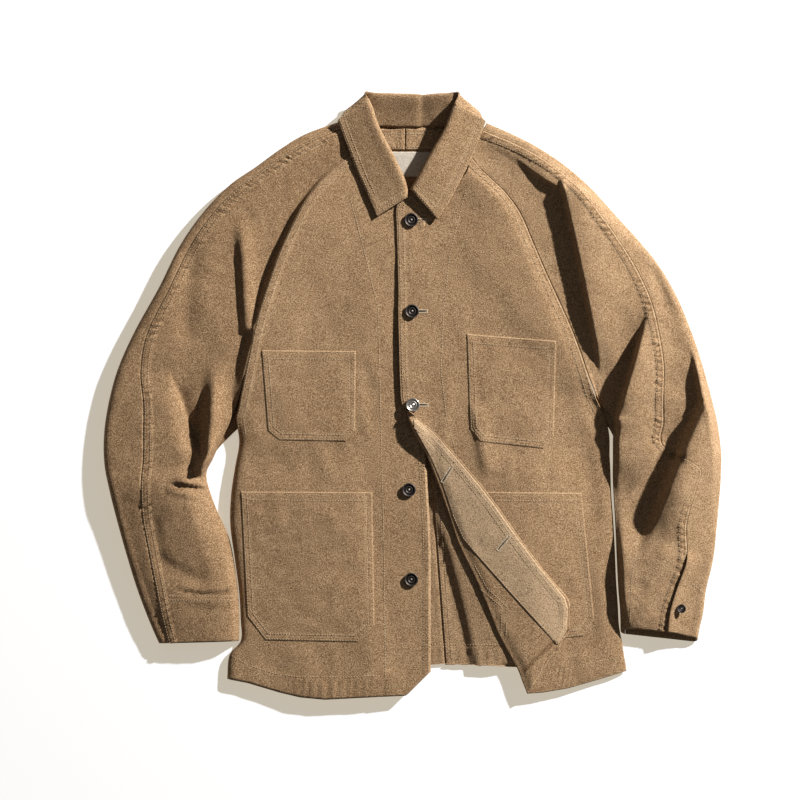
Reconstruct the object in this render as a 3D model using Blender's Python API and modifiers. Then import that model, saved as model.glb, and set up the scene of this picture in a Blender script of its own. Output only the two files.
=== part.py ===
"""Chore jacket laid flat on its back, raglan sleeves bent at the elbow, lower left front folded over.

The tables are in millimetres: +X to the wearer's left, +Y to the collar, +Z up from the surface.
Every cloth piece is an open sheet, laid through rows of sections, and thickened by Solidify.
The sheet is the garment's outer face, and the wall grows inwards from it.
"""
import math

import bmesh
import bpy
import numpy as np

MM = 0.001
CENTRE_X = -0.6           # shift that puts the origin under the middle of the outline
CENTRE_Y = 1.8
WALL = 1.6                # cotton canvas with its seam allowances
COLLAR_WALL = 2.2         # two plies
SEAM = 0.5                # width of the parting between two sewn pieces
LIFT = 0.4                # clearance of a piece that lies on a panel
EDGE_RADIUS = 6.0         # roll of a sleeve's folded edge
BUTTON_RADIUS = 8.9
BUTTON_HEIGHT = 3.4
SHANK_RADIUS = 2.0
FRONT_LEVEL = 14.0        # outer face of the fronts above the surface
SIDE_ROLL = 30.0          # width over which a front rolls down to the side seam
SIDE_COLUMNS = (0, 1.5, 5, 11, 20, 32)   # distances of the mesh columns on that roll
DENSE_FROM = 7            # first sleeve row that gets half rows
CUFF_STEP = 13.0          # how far the under half shows past the upper half at the left cuff


def table(names, *rows):
    """A short table with named columns."""
    return dict(zip(names.split(), np.array(rows, dtype=float).T))


# Sections along each raglan sleeve, from the neck to the cuff.
# outer and inner are the two folded edges, seam is the overarm seam's share of the width from
# the outer edge, top is the height of the middle, and open is 1 where the sleeve joins the body.
SLEEVE_RIGHT = table(
    "outer_x outer_y inner_x inner_y seam top open",
    (-90, 351, -76, 308, 0.16, 14, 1),
    (-136, 334, -97, 291, 0.18, 18, 1),
    (-168, 315, -118, 271, 0.15, 22, 1),
    (-201, 291, -138, 245, 0.12, 25, 1),
    (-234, 268, -155, 213, 0.11, 27, 1),
    (-268, 233, -171, 178, 0.10, 29, 1),
    (-298, 190, -187, 133, 0.10, 30, 1),
    (-325, 136, -200, 90, 0.10, 31, 1),
    (-355, 82, -210, 45, 0.11, 32, 1),
    (-376, 36, -219, 2, 0.18, 33, 0.9),
    (-388, -5, -226, -28, 0.27, 34, 0.4),
    (-395, -48, -241, -52, 0.33, 34, 0),
    (-395, -88, -255, -82, 0.36, 34, 0),
    (-388, -125, -264, -106, 0.33, 34, 0),
    (-378, -165, -252, -146, 0.26, 32, 0),
    (-366, -208, -235, -185, 0.22, 30, 0),
    (-353, -250, -226, -232, 0.19, 27, 0),
    (-338, -290, -222, -275, 0.15, 22, 0),
    (-325, -320, -222, -317, 0.12, 17, 0),
)
SLEEVE_LEFT = table(
    "outer_x outer_y inner_x inner_y seam top open",
    (96, 348, 74, 307, 0.24, 14, 1),
    (132, 332, 88, 289, 0.18, 18, 1),
    (164, 315, 104, 274, 0.15, 22, 1),
    (197, 293, 122, 256, 0.14, 25, 1),
    (230, 264, 140, 230, 0.13, 27, 1),
    (262, 229, 156, 193, 0.15, 29, 1),
    (292, 196, 172, 156, 0.18, 30, 1),
    (317, 165, 187, 123, 0.21, 31, 1),
    (340, 125, 202, 90, 0.24, 32, 1),
    (358, 82, 216, 54, 0.29, 33, 1),
    (371, 44, 228, 18, 0.36, 34, 0.9),
    (382, 5, 239, -12, 0.40, 35, 0.4),
    (392, -36, 258, -34, 0.34, 36, 0),
    (397, -74, 258, -60, 0.24, 36, 0),
    (396, -120, 258, -112, 0.23, 35, 0),
    (392, -166, 261, -166, 0.28, 33, 0),
    (387, -212, 263, -212, 0.30, 30, 0),
    (378, -251, 265, -251, 0.33, 26, 0),
    (374, -282, 267, -275, 0.37, 22, 0),
    (367, -310, 268, -299, 0.40, 18, 0),
)
# Rows across the right front. Above the underarm the side comes from the sleeve's inner edge.
FRONT_RIGHT = table(
    "side_x side_y side_z edge_x edge_y",
    (0, 0, 14, -70, 303),
    (0, 0, 14, -68, 284),
    (0, 0, 14, -52, 262),
    (0, 0, 14, -14, 247),
    (0, 0, 14, 15, 226),
    (0, 0, 14, 15, 190),
    (0, 0, 14, 15, 142),
    (0, 0, 14, 15, 97),
    (0, 0, 14, 15, 50),
    (0, 0, 12.5, 15, 3),
    (0, 0, 7, 16, -32),
    (-225, -62, 2.7, 17, -66),
    (-227, -95, 2.7, 19, -100),
    (-230, -130, 2.7, 21, -135),
    (-231, -168, 2.7, 23, -173),
    (-228.5, -210, 2.7, 24, -213),
    (-222.8, -253, 2.7, 24, -254),
    (-220.6, -290, 2.7, 24, -290),
    (-220.4, -317, 2.7, 24, -316),
    (-235, -336, 2.7, 24, -338),
    (-238, -366, 2.7, 24, -356),
)
# Rows across the left front. edge is the free front edge and crease the fold it turns over on.
# turn is the angle of the fold and bend its radius; on the flat rows crease is only a column line.
FRONT_LEFT = table(
    "side_x side_y side_z crease_x crease_y edge_x edge_y turn bend",
    (0, 0, 14, 71, 304, 69, 303, 0, 4),
    (0, 0, 14, 72, 288, 60, 287, 0, 4),
    (0, 0, 14, 62, 274, 36, 274, 0, 4),
    (0, 0, 14, 52, 262, 4, 262, 0, 4),
    (0, 0, 14, 44, 240, -19, 243, 0, 4),
    (0, 0, 14, 44, 206, -20, 210, 0, 4),
    (0, 0, 14, 44, 168, -19, 172, 0, 4),
    (0, 0, 14, 40, 132, -18, 136, 0, 4),
    (0, 0, 14, 32, 97, -18, 100, 0, 4),
    (0, 0, 14, 24, 60, -17, 62, 0, 4),
    (0, 0, 12.5, 14, 24, -16, 26, 0, 4),
    (0, 0, 7, 3, -8, -14, -8, 0, 4),
    (249, -32, 2.7, 1, -25, -11, -24, 0, 4),
    (253, -46, 2.7, -5, -33, 9, -32, 95, 4),
    (254.5, -60, 2.7, -3, -42, 16, -38, 170, 4.5),
    (254.5, -78, 2.7, 7, -58, 26, -46, 180, 5.5),
    (255.5, -98, 2.7, 18, -78, 40, -60, 180, 6.5),
    (256.5, -128, 2.7, 33, -115, 62, -85, 180, 8),
    (259.2, -164, 2.7, 48, -157, 89, -117, 180, 9),
    (261.2, -200, 2.7, 60, -193, 109, -143, 180, 10),
    (262.8, -238, 2.7, 82, -238, 137, -183, 180, 10.5),
    (265, -270, 2.7, 97, -273, 160, -214, 180, 11),
    (266.6, -298, 2.7, 110, -306, 183, -242, 180, 12),
    (271, -322, 2.7, 123, -331, 195, -258, 180, 13),
    (273, -336, 2.7, 135, -352, 201, -277, 180, 14),
    (275, -347, 2.7, 142, -370, 200, -304, 180, 14),
    (276, -356, 2.7, 148, -385, 187, -323, 180, 13),
)
# How far the hem hangs below a straight line between its two ends, by the share of its width.
HEM_RIGHT = table(
    "share drop",
    (0, 0), (0.1, 6), (0.26, 20), (0.36, 27), (0.48, 31), (0.76, 30), (0.88, 30), (1, 0),
)
HEM_LEFT = table("share drop", (0, 0), (0.3, 3), (0.6, 5), (0.85, 3), (1, 0))
# Sections round the collar, from its right front end round the neck to its left front end.
# over is 1 where the fall lies on the stand, and -1 behind the neck, where it lies under it.
COLLAR = table(
    "seam_x seam_y seam_z roll_x roll_y roll_z edge_x edge_y edge_z over",
    (-19, 248, 17.5, -4, 253, 23.5, -45, 227, 20.5, 1),
    (-37, 252, 17.5, -9, 275, 27.5, -56, 252, 20.5, 1),
    (-58, 268, 17.5, -24, 307, 30.5, -69, 280, 21.5, 1),
    (-72, 294, 17.5, -41, 340, 31.5, -82, 314, 22.5, 1),
    (-72, 318, 15.5, -52, 374, 30.5, -94, 347, 21.5, 0.9),
    (-63, 336, 8.5, -60, 387, 23.5, -82, 366, 9, 0.1),
    (-44, 342, 4.4, -44, 388, 18, -52, 361, 0, -0.9),
    (-22, 342, 4.3, -22, 387, 17, -23, 354, 0, -1),
    (-1, 342, 4.3, -1, 386.5, 17, -1, 353, 0, -1),
    (21, 342, 4.3, 21, 387, 17, 22, 354, 0, -1),
    (43, 342, 4.4, 44, 388, 18, 52, 361, 0, -0.9),
    (62, 336, 8.5, 60, 386, 23.5, 82, 365, 9, 0.1),
    (72, 316, 15.5, 53, 371, 30.5, 93, 345, 21.5, 0.9),
    (66, 286, 17.5, 40, 338, 31.5, 80, 311, 22.5, 1),
    (50, 254, 17.5, 22, 306, 30.5, 64, 277, 22.5, 1),
    (31, 232, 20, 7, 278, 29.5, 48, 247, 23.5, 1),
    (12, 243, 21.5, -2, 262, 27.5, 32, 223, 23.5, 1),
)
# The largest folds as long soft ridges (rise > 0) and troughs (rise < 0) from one point to
# another. bow bends them, and left and right are the widths of their two flanks.
SLEEVE_RIGHT_FOLDS = table(
    "x0 y0 x1 y1 bow rise left right",
    (-338, 92, -258, -112, 14, 8, 26, 9),
    (-318, 70, -240, -96, 12, -15, 10, 12),
    (-312, -108, -256, -128, 0, -10, 9, 12),
    (-334, -200, -250, -246, 4, -7, 10, 12),
    (-330, -232, -222, -252, 0, -5, 7, 7),
    (-236, 240, -222, 60, -8, -8, 14, 12),
    (-252, 260, -250, 20, 4, 4, 16, 16),
    (-274, 210, -276, 70, 0, -4, 12, 12),
)
SLEEVE_LEFT_FOLDS = table(
    "x0 y0 x1 y1 bow rise left right",
    (376, 50, 270, -156, -12, 8, 10, 28),
    (386, 2, 282, -188, 2, -15, 14, 12),
    (378, -30, 284, -236, 14, 6, 12, 22),
    (300, 104, 244, 24, -6, 7, 18, 16),
    (300, 96, 272, -28, -2, -9, 14, 12),
    (138, 296, 232, 4, 14, -8, 12, 14),
    (322, 150, 336, 56, 4, -5, 16, 16),
)
FRONT_RIGHT_FOLDS = table(
    "x0 y0 x1 y1 bow rise left right",
    (-196, 40, -70, 250, 8, 2.7, 26, 22),
    (-230, -110, -60, -70, -6, -1.8, 20, 24),
    (-60, 40, -30, -330, 4, -1.6, 18, 18),
    (-150, -320, -120, -390, 0, 1.6, 20, 20),
)
FRONT_LEFT_FOLDS = table(
    "x0 y0 x1 y1 bow rise left right",
    (200, 40, 60, 230, -8, 2.7, 22, 26),
    (240, -90, 90, -60, 6, -1.8, 20, 24),
    (210, -330, 232, -372, 0, 1.6, 18, 18),
)
# Six corners of each patch pocket, from its upper right corner (as worn) round to the upper left.
POCKETS = {
    "pocket_chest_right": ((-193, 56), (-72, 55), (-73, -46), (-85, -61), (-170, -59), (-185, -47)),
    "pocket_chest_left": ((70, 77), (185, 68), (182, -54), (168, -70), (88, -61), (74, -45)),
    "pocket_hip_right": ((-220, -125), (-51, -126), (-48, -297), (-70, -318), (-188, -316), (-212, -285)),
    "pocket_hip_left": ((62, -125), (218, -127), (234, -289), (220, -311), (150, -317), (118, -318)),
}
# Front buttons: the upper three hold the left front down and the lower two sit on the right front.
BUTTONS = table(
    "x y through",
    (-1, 223, 1), (0, 106, 1), (1, -14, 1), (-4, -123, 0), (-1, -238, 0),
)
NECK_CUT = ((-30, 250), (-17, 246), (0, 242), (14, 232), (28, 220), (40, 234), (48, 262), (60, 300),
            (30, 300), (-30, 262))
# The facing on the inside of the left front, where the flap shows it.
FACING = ((-8, -28), (36, -138), (66, -190), (130, -260), (172, -306), (186, -322), (198, -306),
          (199, -266), (156, -213), (93, -126), (42, -65), (4, -30))
NECK_PIECES = {
    "neck_facing_right": ((-66, 334), (-46, 341), (-9.3, 341), (-9.3, 314), (-60, 314), (-70, 318)),
    "neck_facing_left": ((-8.7, 341), (46, 341), (66, 334), (70, 318), (60, 314), (-8.7, 314)),
    "neck_label": ((-27, 311), (27, 311), (20, 279), (-20, 279)),
}
FREE_HOLES = table("x y turn", (45, -103, 51), (117, -191, 52))
HOLE_LENGTH = 22.0
HOLE_WIDTH = 1.6
CUFF_BUTTON = (346, -276)
CUFF_BUTTON_FOOT = 23.0


def smooth(t):
    """Soft step from 0 to 1."""
    t = np.clip(t, 0, 1)
    return t * t * (3 - 2 * t)


def quarter(t, power=2.4):
    """Quarter of a superellipse: rises steeply from 0 and flattens out at 1."""
    t = np.clip(t, 0, 1)
    return (1 - (1 - t) ** power) ** (1 / power)


def read(tab, name, t):
    """Catmull-Rom curve through one column, at the row numbers t."""
    column = tab[name]
    padded = np.concatenate(([2 * column[0] - column[1]], column, [2 * column[-1] - column[-2]]))
    t = np.asarray(t, dtype=float)
    low = np.clip(np.floor(t).astype(int), 0, len(column) - 2)
    f = t - low
    a, b, c, d = (padded[low + k] for k in range(4))
    return 0.5 * (2 * b + (c - a) * f + (2 * a - 5 * b + 4 * c - d) * f ** 2
                  + (3 * b - a - 3 * c + d) * f ** 3)


def folds(tab, x, y):
    """Height of all the ridges and troughs of a table at each point."""
    total = np.zeros(np.shape(x))
    for x0, y0, x1, y1, bow, rise, left, right in zip(*tab.values()):
        length = math.hypot(x1 - x0, y1 - y0)
        run_x, run_y = (x1 - x0) / length, (y1 - y0) / length
        share = ((x - x0) * run_x + (y - y0) * run_y) / length
        across = (x - x0) * run_y - (y - y0) * run_x - 4 * bow * share * (1 - share)
        width = np.where(across < 0, left, right)
        ends = smooth(share / 0.25) * smooth((1 - share) / 0.25)
        total = total + rise * np.exp(-(across / width) ** 2) * ends
    return total


def sheet(name, points, cyclic=False):
    """Open quad sheet through a grid of points, as an object in metres."""
    rows, columns = points.shape[:2]
    body = bmesh.new()
    flat = (points.reshape(-1, 3) + (CENTRE_X, CENTRE_Y, 0)) * MM
    verts = [body.verts.new(p) for p in flat]
    for i in range(rows - 1):
        for j in range(columns - 1):
            a = i * columns + j
            body.faces.new((verts[a], verts[a + 1], verts[a + columns + 1], verts[a + columns]))
    mesh = bpy.data.meshes.new(name)
    body.to_mesh(mesh)
    body.free()
    thing = bpy.data.objects.new(name, mesh)
    parts.objects.link(thing)
    return thing


def thicken(thing, wall, outwards=False):
    solid = thing.modifiers.new("wall", "SOLIDIFY")
    solid.thickness = wall * MM
    solid.offset = 1 if outwards else -1
    return thing


def material(name, colour, roughness, metallic=0.0):
    made = bpy.data.materials.new(name)
    made.use_nodes = True
    shader = made.node_tree.nodes["Principled BSDF"]
    shader.inputs["Base Color"].default_value = (*colour, 1)
    shader.inputs["Roughness"].default_value = roughness
    shader.inputs["Metallic"].default_value = metallic
    return made


def dress(thing, made):
    thing.data.materials.clear()
    thing.data.materials.append(made)


def blend(one, other, share):
    return one + (other - one) * share


def panel_shares(side, edge, columns):
    """Shares of each row's width: close together on the rolled side, even on the flat."""
    width = np.linalg.norm(edge - side, axis=-1)
    near = np.array(SIDE_COLUMNS) * np.minimum(1, width / 90)
    far = blend(near[:, -1:], width, (np.arange(1, columns + 1) / columns)[None, :])
    return (np.concatenate((near, far), axis=1) / width)[..., None]


# ---------------------------------------------------------------- sleeves

def sleeve_top(tab, rows, across, x, y, fold_table):
    """Height of the sleeve's upper face: across is the distance from the inner edge."""
    width = np.hypot(read(tab, "outer_x", rows) - read(tab, "inner_x", rows),
                     read(tab, "outer_y", rows) - read(tab, "inner_y", rows))
    top = read(tab, "top", rows)
    joined = np.clip(read(tab, "open", rows), 0, 1)
    from_outer = quarter((width - across) / (0.40 * width))
    tube = EDGE_RADIUS + (top - EDGE_RADIUS) * quarter(across / (0.36 * width))
    raglan = FRONT_LEVEL + (top - FRONT_LEVEL) * smooth(across / (0.34 * width))
    inner_side = blend(tube, raglan, joined)
    height = inner_side - (top - EDGE_RADIUS) * (1 - from_outer)
    inside = smooth(across / 16) * smooth((width - across) / 12)
    height = height + folds(fold_table, x, y) * inside
    floor_gap = EDGE_RADIUS * 0.9
    return np.maximum(height, floor_gap + 0.12 * (height - floor_gap))


def sleeve_rows(tab):
    """Row numbers: whole rows at the shoulder, half rows below it."""
    last = len(tab["top"]) - 1
    return np.concatenate((np.arange(DENSE_FROM), np.arange(DENSE_FROM, last + 0.1, 0.5)))


def ring_frame(tab, rows):
    inner = np.stack((read(tab, "inner_x", rows), read(tab, "inner_y", rows)), axis=-1)
    outer = np.stack((read(tab, "outer_x", rows), read(tab, "outer_y", rows)), axis=-1)
    width = np.linalg.norm(outer - inner, axis=-1, keepdims=True)
    return inner, (outer - inner) / width, width


def stepped(points, step_out):
    """Moves the low part of the cuff's end outwards, so that the mouth shows."""
    points[-1, :, 1] -= step_out * (1 - np.clip(points[-1, :, 2] / 14, 0, 1))
    return points


def sleeve_front(tab, fold_table, step_out, upper=8, arc=3):
    """From the overarm seam over the top to the raglan seam, and below it round the inner edge."""
    rows = sleeve_rows(tab)[:, None]
    inner, run, width = ring_frame(tab, rows[:, 0])
    joined = np.clip(read(tab, "open", rows), 0, 1)
    start = width * (1 - read(tab, "seam", rows)) - SEAM / 2
    count = upper + arc
    step = np.arange(count + 1)[None, :]
    raglan = start * (1 - step / count)
    tube = start * (1 - np.minimum(step / upper, 1)) ** 1.2
    angle = np.clip((step - upper) / arc, 0, 1) * math.pi / 2
    curled = EDGE_RADIUS * (1 - np.cos(angle))
    across = blend(tube + curled, raglan, joined)
    xy = inner[:, None, :] + run[:, None, :] * across[..., None]
    on_top = blend(tube, raglan, joined)
    top_xy = inner[:, None, :] + run[:, None, :] * on_top[..., None]
    every = np.broadcast_to(rows, across.shape)
    height = sleeve_top(tab, every, on_top, top_xy[..., 0], top_xy[..., 1], fold_table)
    height = np.where(step > upper, blend(EDGE_RADIUS * (1 - np.sin(angle)), height, joined), height)
    return stepped(np.concatenate((xy, height[..., None]), axis=-1), step_out)


def sleeve_back(tab, fold_table, step_out, upper=5, arc=3, under=3):
    """From the overarm seam round the outer edge and flat along the surface to the inner edge."""
    rows = sleeve_rows(tab)[:, None]
    inner, run, width = ring_frame(tab, rows[:, 0])
    joined = np.clip(read(tab, "open", rows), 0, 1)
    start = width * (1 - read(tab, "seam", rows)) + SEAM / 2
    step = np.arange(upper + arc + under + 1)[None, :]
    share = np.minimum(step / upper, 1)
    top_across = start + (width - start) * (1 - (1 - share) ** 1.5)
    angle = np.clip((step - upper) / arc, 0, 1) * math.pi / 2
    curled = top_across - EDGE_RADIUS * (1 - np.cos(angle))
    stop = blend(EDGE_RADIUS + 1.0, 0.0, joined) + 12 * joined * (1 - joined)
    flat_share = np.clip((step - upper - arc) / under, 0, 1)
    across = blend(curled, stop, flat_share)
    xy = inner[:, None, :] + run[:, None, :] * across[..., None]
    every = np.broadcast_to(rows, across.shape)
    top_xy = inner[:, None, :] + run[:, None, :] * top_across[..., None]
    height = sleeve_top(tab, every, top_across, top_xy[..., 0], top_xy[..., 1], fold_table)
    height = np.where(step > upper, EDGE_RADIUS * (1 - np.sin(angle)), height)
    height = np.where(step >= upper + arc, 0.0, height)
    return stepped(np.concatenate((xy, height[..., None]), axis=-1), step_out)


# ---------------------------------------------------------------- fronts and back

def side_points(tab, sleeve, sign):
    """Side edge of a body panel: along the raglan seam, then down the side seam."""
    x, y = tab["side_x"].copy(), tab["side_y"].copy()
    joined = x == 0
    x[joined] = sleeve["inner_x"][:joined.sum()] - sign * SEAM
    y[joined] = sleeve["inner_y"][:joined.sum()] - 0.3 * SEAM
    return x, y


def front_level(x, y, left):
    """Outer face of the two fronts: the right one dips under the lap and the left one rises."""
    lap = smooth((34 - x) / 40) if left else smooth((x + 60) / 40)
    swell = 1.2 * np.sin(x / 47 + 1.3) * np.sin(y / 61 + 0.4)
    rise = (1.9 + 1.6 * smooth((140 - y) / 160)) if left else -2.2
    fold_table = FRONT_LEFT_FOLDS if left else FRONT_RIGHT_FOLDS
    calm = 1 - lap
    return FRONT_LEVEL + rise * lap + (swell + folds(fold_table, x, y)) * calm


def front_right_grid(columns=10):
    x, y = side_points(FRONT_RIGHT, SLEEVE_RIGHT, -1)
    side = np.stack((x, y), axis=-1)[:, None, :]
    edge = np.stack((FRONT_RIGHT["edge_x"], FRONT_RIGHT["edge_y"]), axis=-1)[:, None, :]
    share = panel_shares(side, edge, columns)
    xy = blend(side, edge, share)
    depth = smooth((-215 - FRONT_RIGHT["side_y"]) / 150)[:, None] * (FRONT_RIGHT["side_x"] != 0)[:, None]
    xy[..., 1] -= depth * np.interp(share[..., 0], HEM_RIGHT["share"], HEM_RIGHT["drop"])
    from_side = np.linalg.norm(xy - side, axis=-1)
    level = front_level(xy[..., 0], xy[..., 1], False)
    side_z = FRONT_RIGHT["side_z"][:, None]
    height = side_z + (level - side_z) * quarter(from_side / SIDE_ROLL)
    return np.concatenate((xy, height[..., None]), axis=-1)


def front_left_grid(columns=7, arc=5, flap=8):
    tab = FRONT_LEFT
    x, y = side_points(tab, SLEEVE_LEFT, 1)
    side = np.stack((x, y), axis=-1)[:, None, :]
    crease = np.stack((tab["crease_x"], tab["crease_y"]), axis=-1)[:, None, :]
    edge = np.stack((tab["edge_x"], tab["edge_y"]), axis=-1)[:, None, :]
    turn = np.radians(tab["turn"])[:, None]
    bend = tab["bend"][:, None]
    side_z = tab["side_z"][:, None]
    folded = np.sin(turn / 2)[..., None]
    inward = (side - crease) / np.linalg.norm(side - crease, axis=-1, keepdims=True)
    outward = (edge - crease) / np.linalg.norm(edge - crease, axis=-1, keepdims=True)
    inset = (bend[..., None] + WALL) * folded
    start = crease + inward * inset
    share = panel_shares(side, start, columns)
    main_xy = blend(side, start, share)
    hem = smooth((-300 - tab["crease_y"]) / 85)[:, None]
    main_xy[..., 1] -= hem * np.interp(share[..., 0], HEM_LEFT["share"], HEM_LEFT["drop"])
    from_side = np.linalg.norm(main_xy - side, axis=-1)
    level = front_level(main_xy[..., 0], main_xy[..., 1], True)
    main_z = side_z + (level - side_z) * quarter(from_side / SIDE_ROLL)
    # Round the fold: the outer face is inside the bend.
    angle = turn * np.arange(1, arc + 1)[None, :] / arc
    base = main_z[:, -1:]
    reach = bend * np.sin(angle)
    lean = (1 - np.cos(angle)) / 2
    facing_in = blend(inward, outward, lean[..., None])
    flat_run = blend(start, edge, (np.arange(1, arc + 1) / (arc + flap))[None, :, None])
    arc_xy = crease + facing_in * (inset - reach[..., None])
    arc_xy = blend(flat_run, arc_xy, folded)
    arc_z = base + bend * (1 - np.cos(angle))
    # Along the flap to its free edge, coming down to rest on the front.
    steps = np.arange(1, flap + 1)[None, :] / flap
    flap_xy = blend(arc_xy[:, -1:, :], edge, steps[..., None])
    under = front_level(flap_xy[..., 0], flap_xy[..., 1], True)
    rest = under + 1.5 * WALL + 2 * LIFT + 1.2
    high = arc_z[:, -1:] + 1.5 * np.sin(math.pi * steps) * folded[..., 0]
    flap_z = blend(high, rest, smooth(steps) ** 0.8)
    rising = arc_z[:, -1:] + steps * 13
    half = np.exp(-((np.degrees(turn) - 95) / 30) ** 2)
    flap_z = blend(flap_z, rising, half)
    flat_z = front_level(flap_xy[..., 0], flap_xy[..., 1], True)
    flap_z = blend(flat_z, flap_z, np.minimum(1, folded[..., 0] * 1.4))
    arc_flat = front_level(arc_xy[..., 0], arc_xy[..., 1], True)
    arc_z = blend(arc_flat, arc_z, np.minimum(1, folded[..., 0] * 1.4))
    xy = np.concatenate((main_xy, arc_xy, flap_xy), axis=1)
    height = np.concatenate((main_z, arc_z, flap_z), axis=1)
    return np.concatenate((xy, height[..., None]), axis=-1)


def centre_back(y):
    """The centre back seam leans a little to the left front."""
    return -9 + 40 * (342 - y) / 529


def back_grid(tab, sleeve, sign, columns=4):
    x, y = side_points(tab, sleeve, sign)
    x = np.concatenate(([sign * 70], x))
    y = np.concatenate(([338], y))
    y[-1] += 3
    middle_y = y.copy()
    middle_y[0] = 343.5
    middle_y[1] = 312
    middle_y[-1] = -347
    middle_y[-2] = min(middle_y[-2], -330)
    side = np.stack((x, y), axis=-1)[:, None, :]
    middle_x = centre_back(middle_y) + sign * SEAM / 2
    middle = np.stack((middle_x, middle_y), axis=-1)[:, None, :]
    share = (np.arange(columns + 1) / columns)[None, :, None]
    xy = blend(side, middle, share)
    return np.concatenate((xy, np.zeros(xy.shape[:2] + (1,))), axis=-1)


# ---------------------------------------------------------------- collar

def collar_grid(step=0.5):
    rows = np.arange(0, len(COLLAR["over"]) - 1 + step / 2, step)

    def point(name):
        return np.stack([read(COLLAR, f"{name}_{axis}", rows) for axis in "xyz"], axis=-1)
    seam, roll, edge = point("seam"), point("roll"), point("edge")
    over = np.clip(read(COLLAR, "over", rows), -1, 1)[:, None]
    edge[:, 2] = np.maximum(edge[:, 2], 0)
    bend = np.minimum(4.5, (roll[:, 2:] - 2) / 3)
    to_seam = seam - roll
    to_edge = edge - roll
    to_seam[:, 2] = 0
    to_edge[:, 2] = 0
    to_seam /= np.linalg.norm(to_seam, axis=-1, keepdims=True)
    to_edge /= np.linalg.norm(to_edge, axis=-1, keepdims=True)
    up = np.array((0, 0, 1.0))
    crown = roll - up * bend * np.abs(over)
    stand_top = roll + to_seam * bend - up * bend * (1 + over)
    fall_top = roll + to_edge * bend - up * bend * (1 - over)
    stand_low = blend(seam, stand_top, 0.5)
    stand_low[:, 2] = blend(seam[:, 2], stand_top[:, 2], 0.45)
    columns = [seam, blend(seam, stand_low, 0.5), stand_low, blend(stand_low, stand_top, 0.55), stand_top,
               blend(stand_top, crown, 0.6) + up * 0.2 * bend * over * -1, crown,
               blend(crown, fall_top, 0.4) + up * 0.2 * bend * over, fall_top]
    behind = smooth(-over)
    for share in (0.3, 0.65, 1.0):
        p = blend(fall_top, edge, share)
        drop = blend(fall_top[:, 2:], edge[:, 2:], 1 - (1 - share) ** 3)
        p[:, 2:] = blend(p[:, 2:], drop, behind)
        columns.append(p)
    return np.stack(columns, axis=1)


# ---------------------------------------------------------------- pieces that lie on a panel

def patch(name, sheet_object, outline, keep_columns, lift, wall, outwards=True):
    """Copy of a panel's own faces inside an outline, moved out and thickened."""
    body = bmesh.new()
    body.from_mesh(sheet_object.data)
    body.verts.ensure_lookup_table()
    first, last, columns = keep_columns
    drop = [f for f in body.faces if not all(first <= v.index % columns <= last for v in f.verts)]
    bmesh.ops.delete(body, geom=drop, context="FACES")
    middle = np.mean(outline, axis=0)
    for k, corner in enumerate(outline):
        nxt = outline[(k + 1) % len(outline)]
        normal = np.array((nxt[1] - corner[1], corner[0] - nxt[0], 0.0))
        if normal[:2] @ (middle - corner) > 0:
            normal = -normal
        place = ((corner[0] + CENTRE_X) * MM, (corner[1] + CENTRE_Y) * MM, 0)
        everything = body.verts[:] + body.edges[:] + body.faces[:]
        bmesh.ops.bisect_plane(body, geom=everything, dist=1e-6, plane_co=place, plane_no=normal,
                               clear_outer=True)
    bmesh.ops.remove_doubles(body, verts=body.verts, dist=0.0002)
    body.normal_update()
    way = MM if outwards else -MM
    for vert in body.verts:
        vert.co += vert.normal * lift * way
    mesh = bpy.data.meshes.new(name)
    body.to_mesh(mesh)
    body.free()
    thing = bpy.data.objects.new(name, mesh)
    parts.objects.link(thing)
    return thicken(thing, wall, outwards)


def prism(name, outline, low, high):
    """Upright cutter over a closed outline."""
    body = bmesh.new()
    verts = [body.verts.new(((x + CENTRE_X) * MM, (y + CENTRE_Y) * MM, low * MM)) for x, y in outline]
    face = body.faces.new(verts)
    raised = bmesh.ops.extrude_face_region(body, geom=[face])["geom"]
    tops = [g for g in raised if isinstance(g, bmesh.types.BMVert)]
    bmesh.ops.translate(body, verts=tops, vec=(0, 0, (high - low) * MM))
    bmesh.ops.recalc_face_normals(body, faces=body.faces)
    mesh = bpy.data.meshes.new(name)
    body.to_mesh(mesh)
    body.free()
    thing = bpy.data.objects.new(name, mesh)
    thing.hide_render = True
    thing.display_type = "WIRE"
    cutters.objects.link(thing)
    return thing


def cut(thing, cutter):
    tool = thing.modifiers.new(cutter.name, "BOOLEAN")
    tool.operation = "DIFFERENCE"
    tool.solver = "EXACT"
    tool.object = cutter


def keyhole(x, y, turn, eye):
    """Outline of a buttonhole slit, widened to a round eye where a shank goes through."""
    half = HOLE_WIDTH / 2
    points = []
    if eye > 0:
        opening = math.asin(half / eye)
        for k in range(11):
            angle = opening + (2 * math.pi - 2 * opening) * k / 10
            points.append((eye * math.cos(angle), eye * math.sin(angle)))
        tip = HOLE_LENGTH - 5
        points += [(tip, -half), (tip, half)]
    else:
        reach = HOLE_LENGTH / 2
        points = [(-reach, -half), (reach, -half), (reach, half), (-reach, half)]
    c, s = math.cos(math.radians(turn)), math.sin(math.radians(turn))
    return [(x + c * u - s * v, y + s * u + c * v) for u, v in points]


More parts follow.
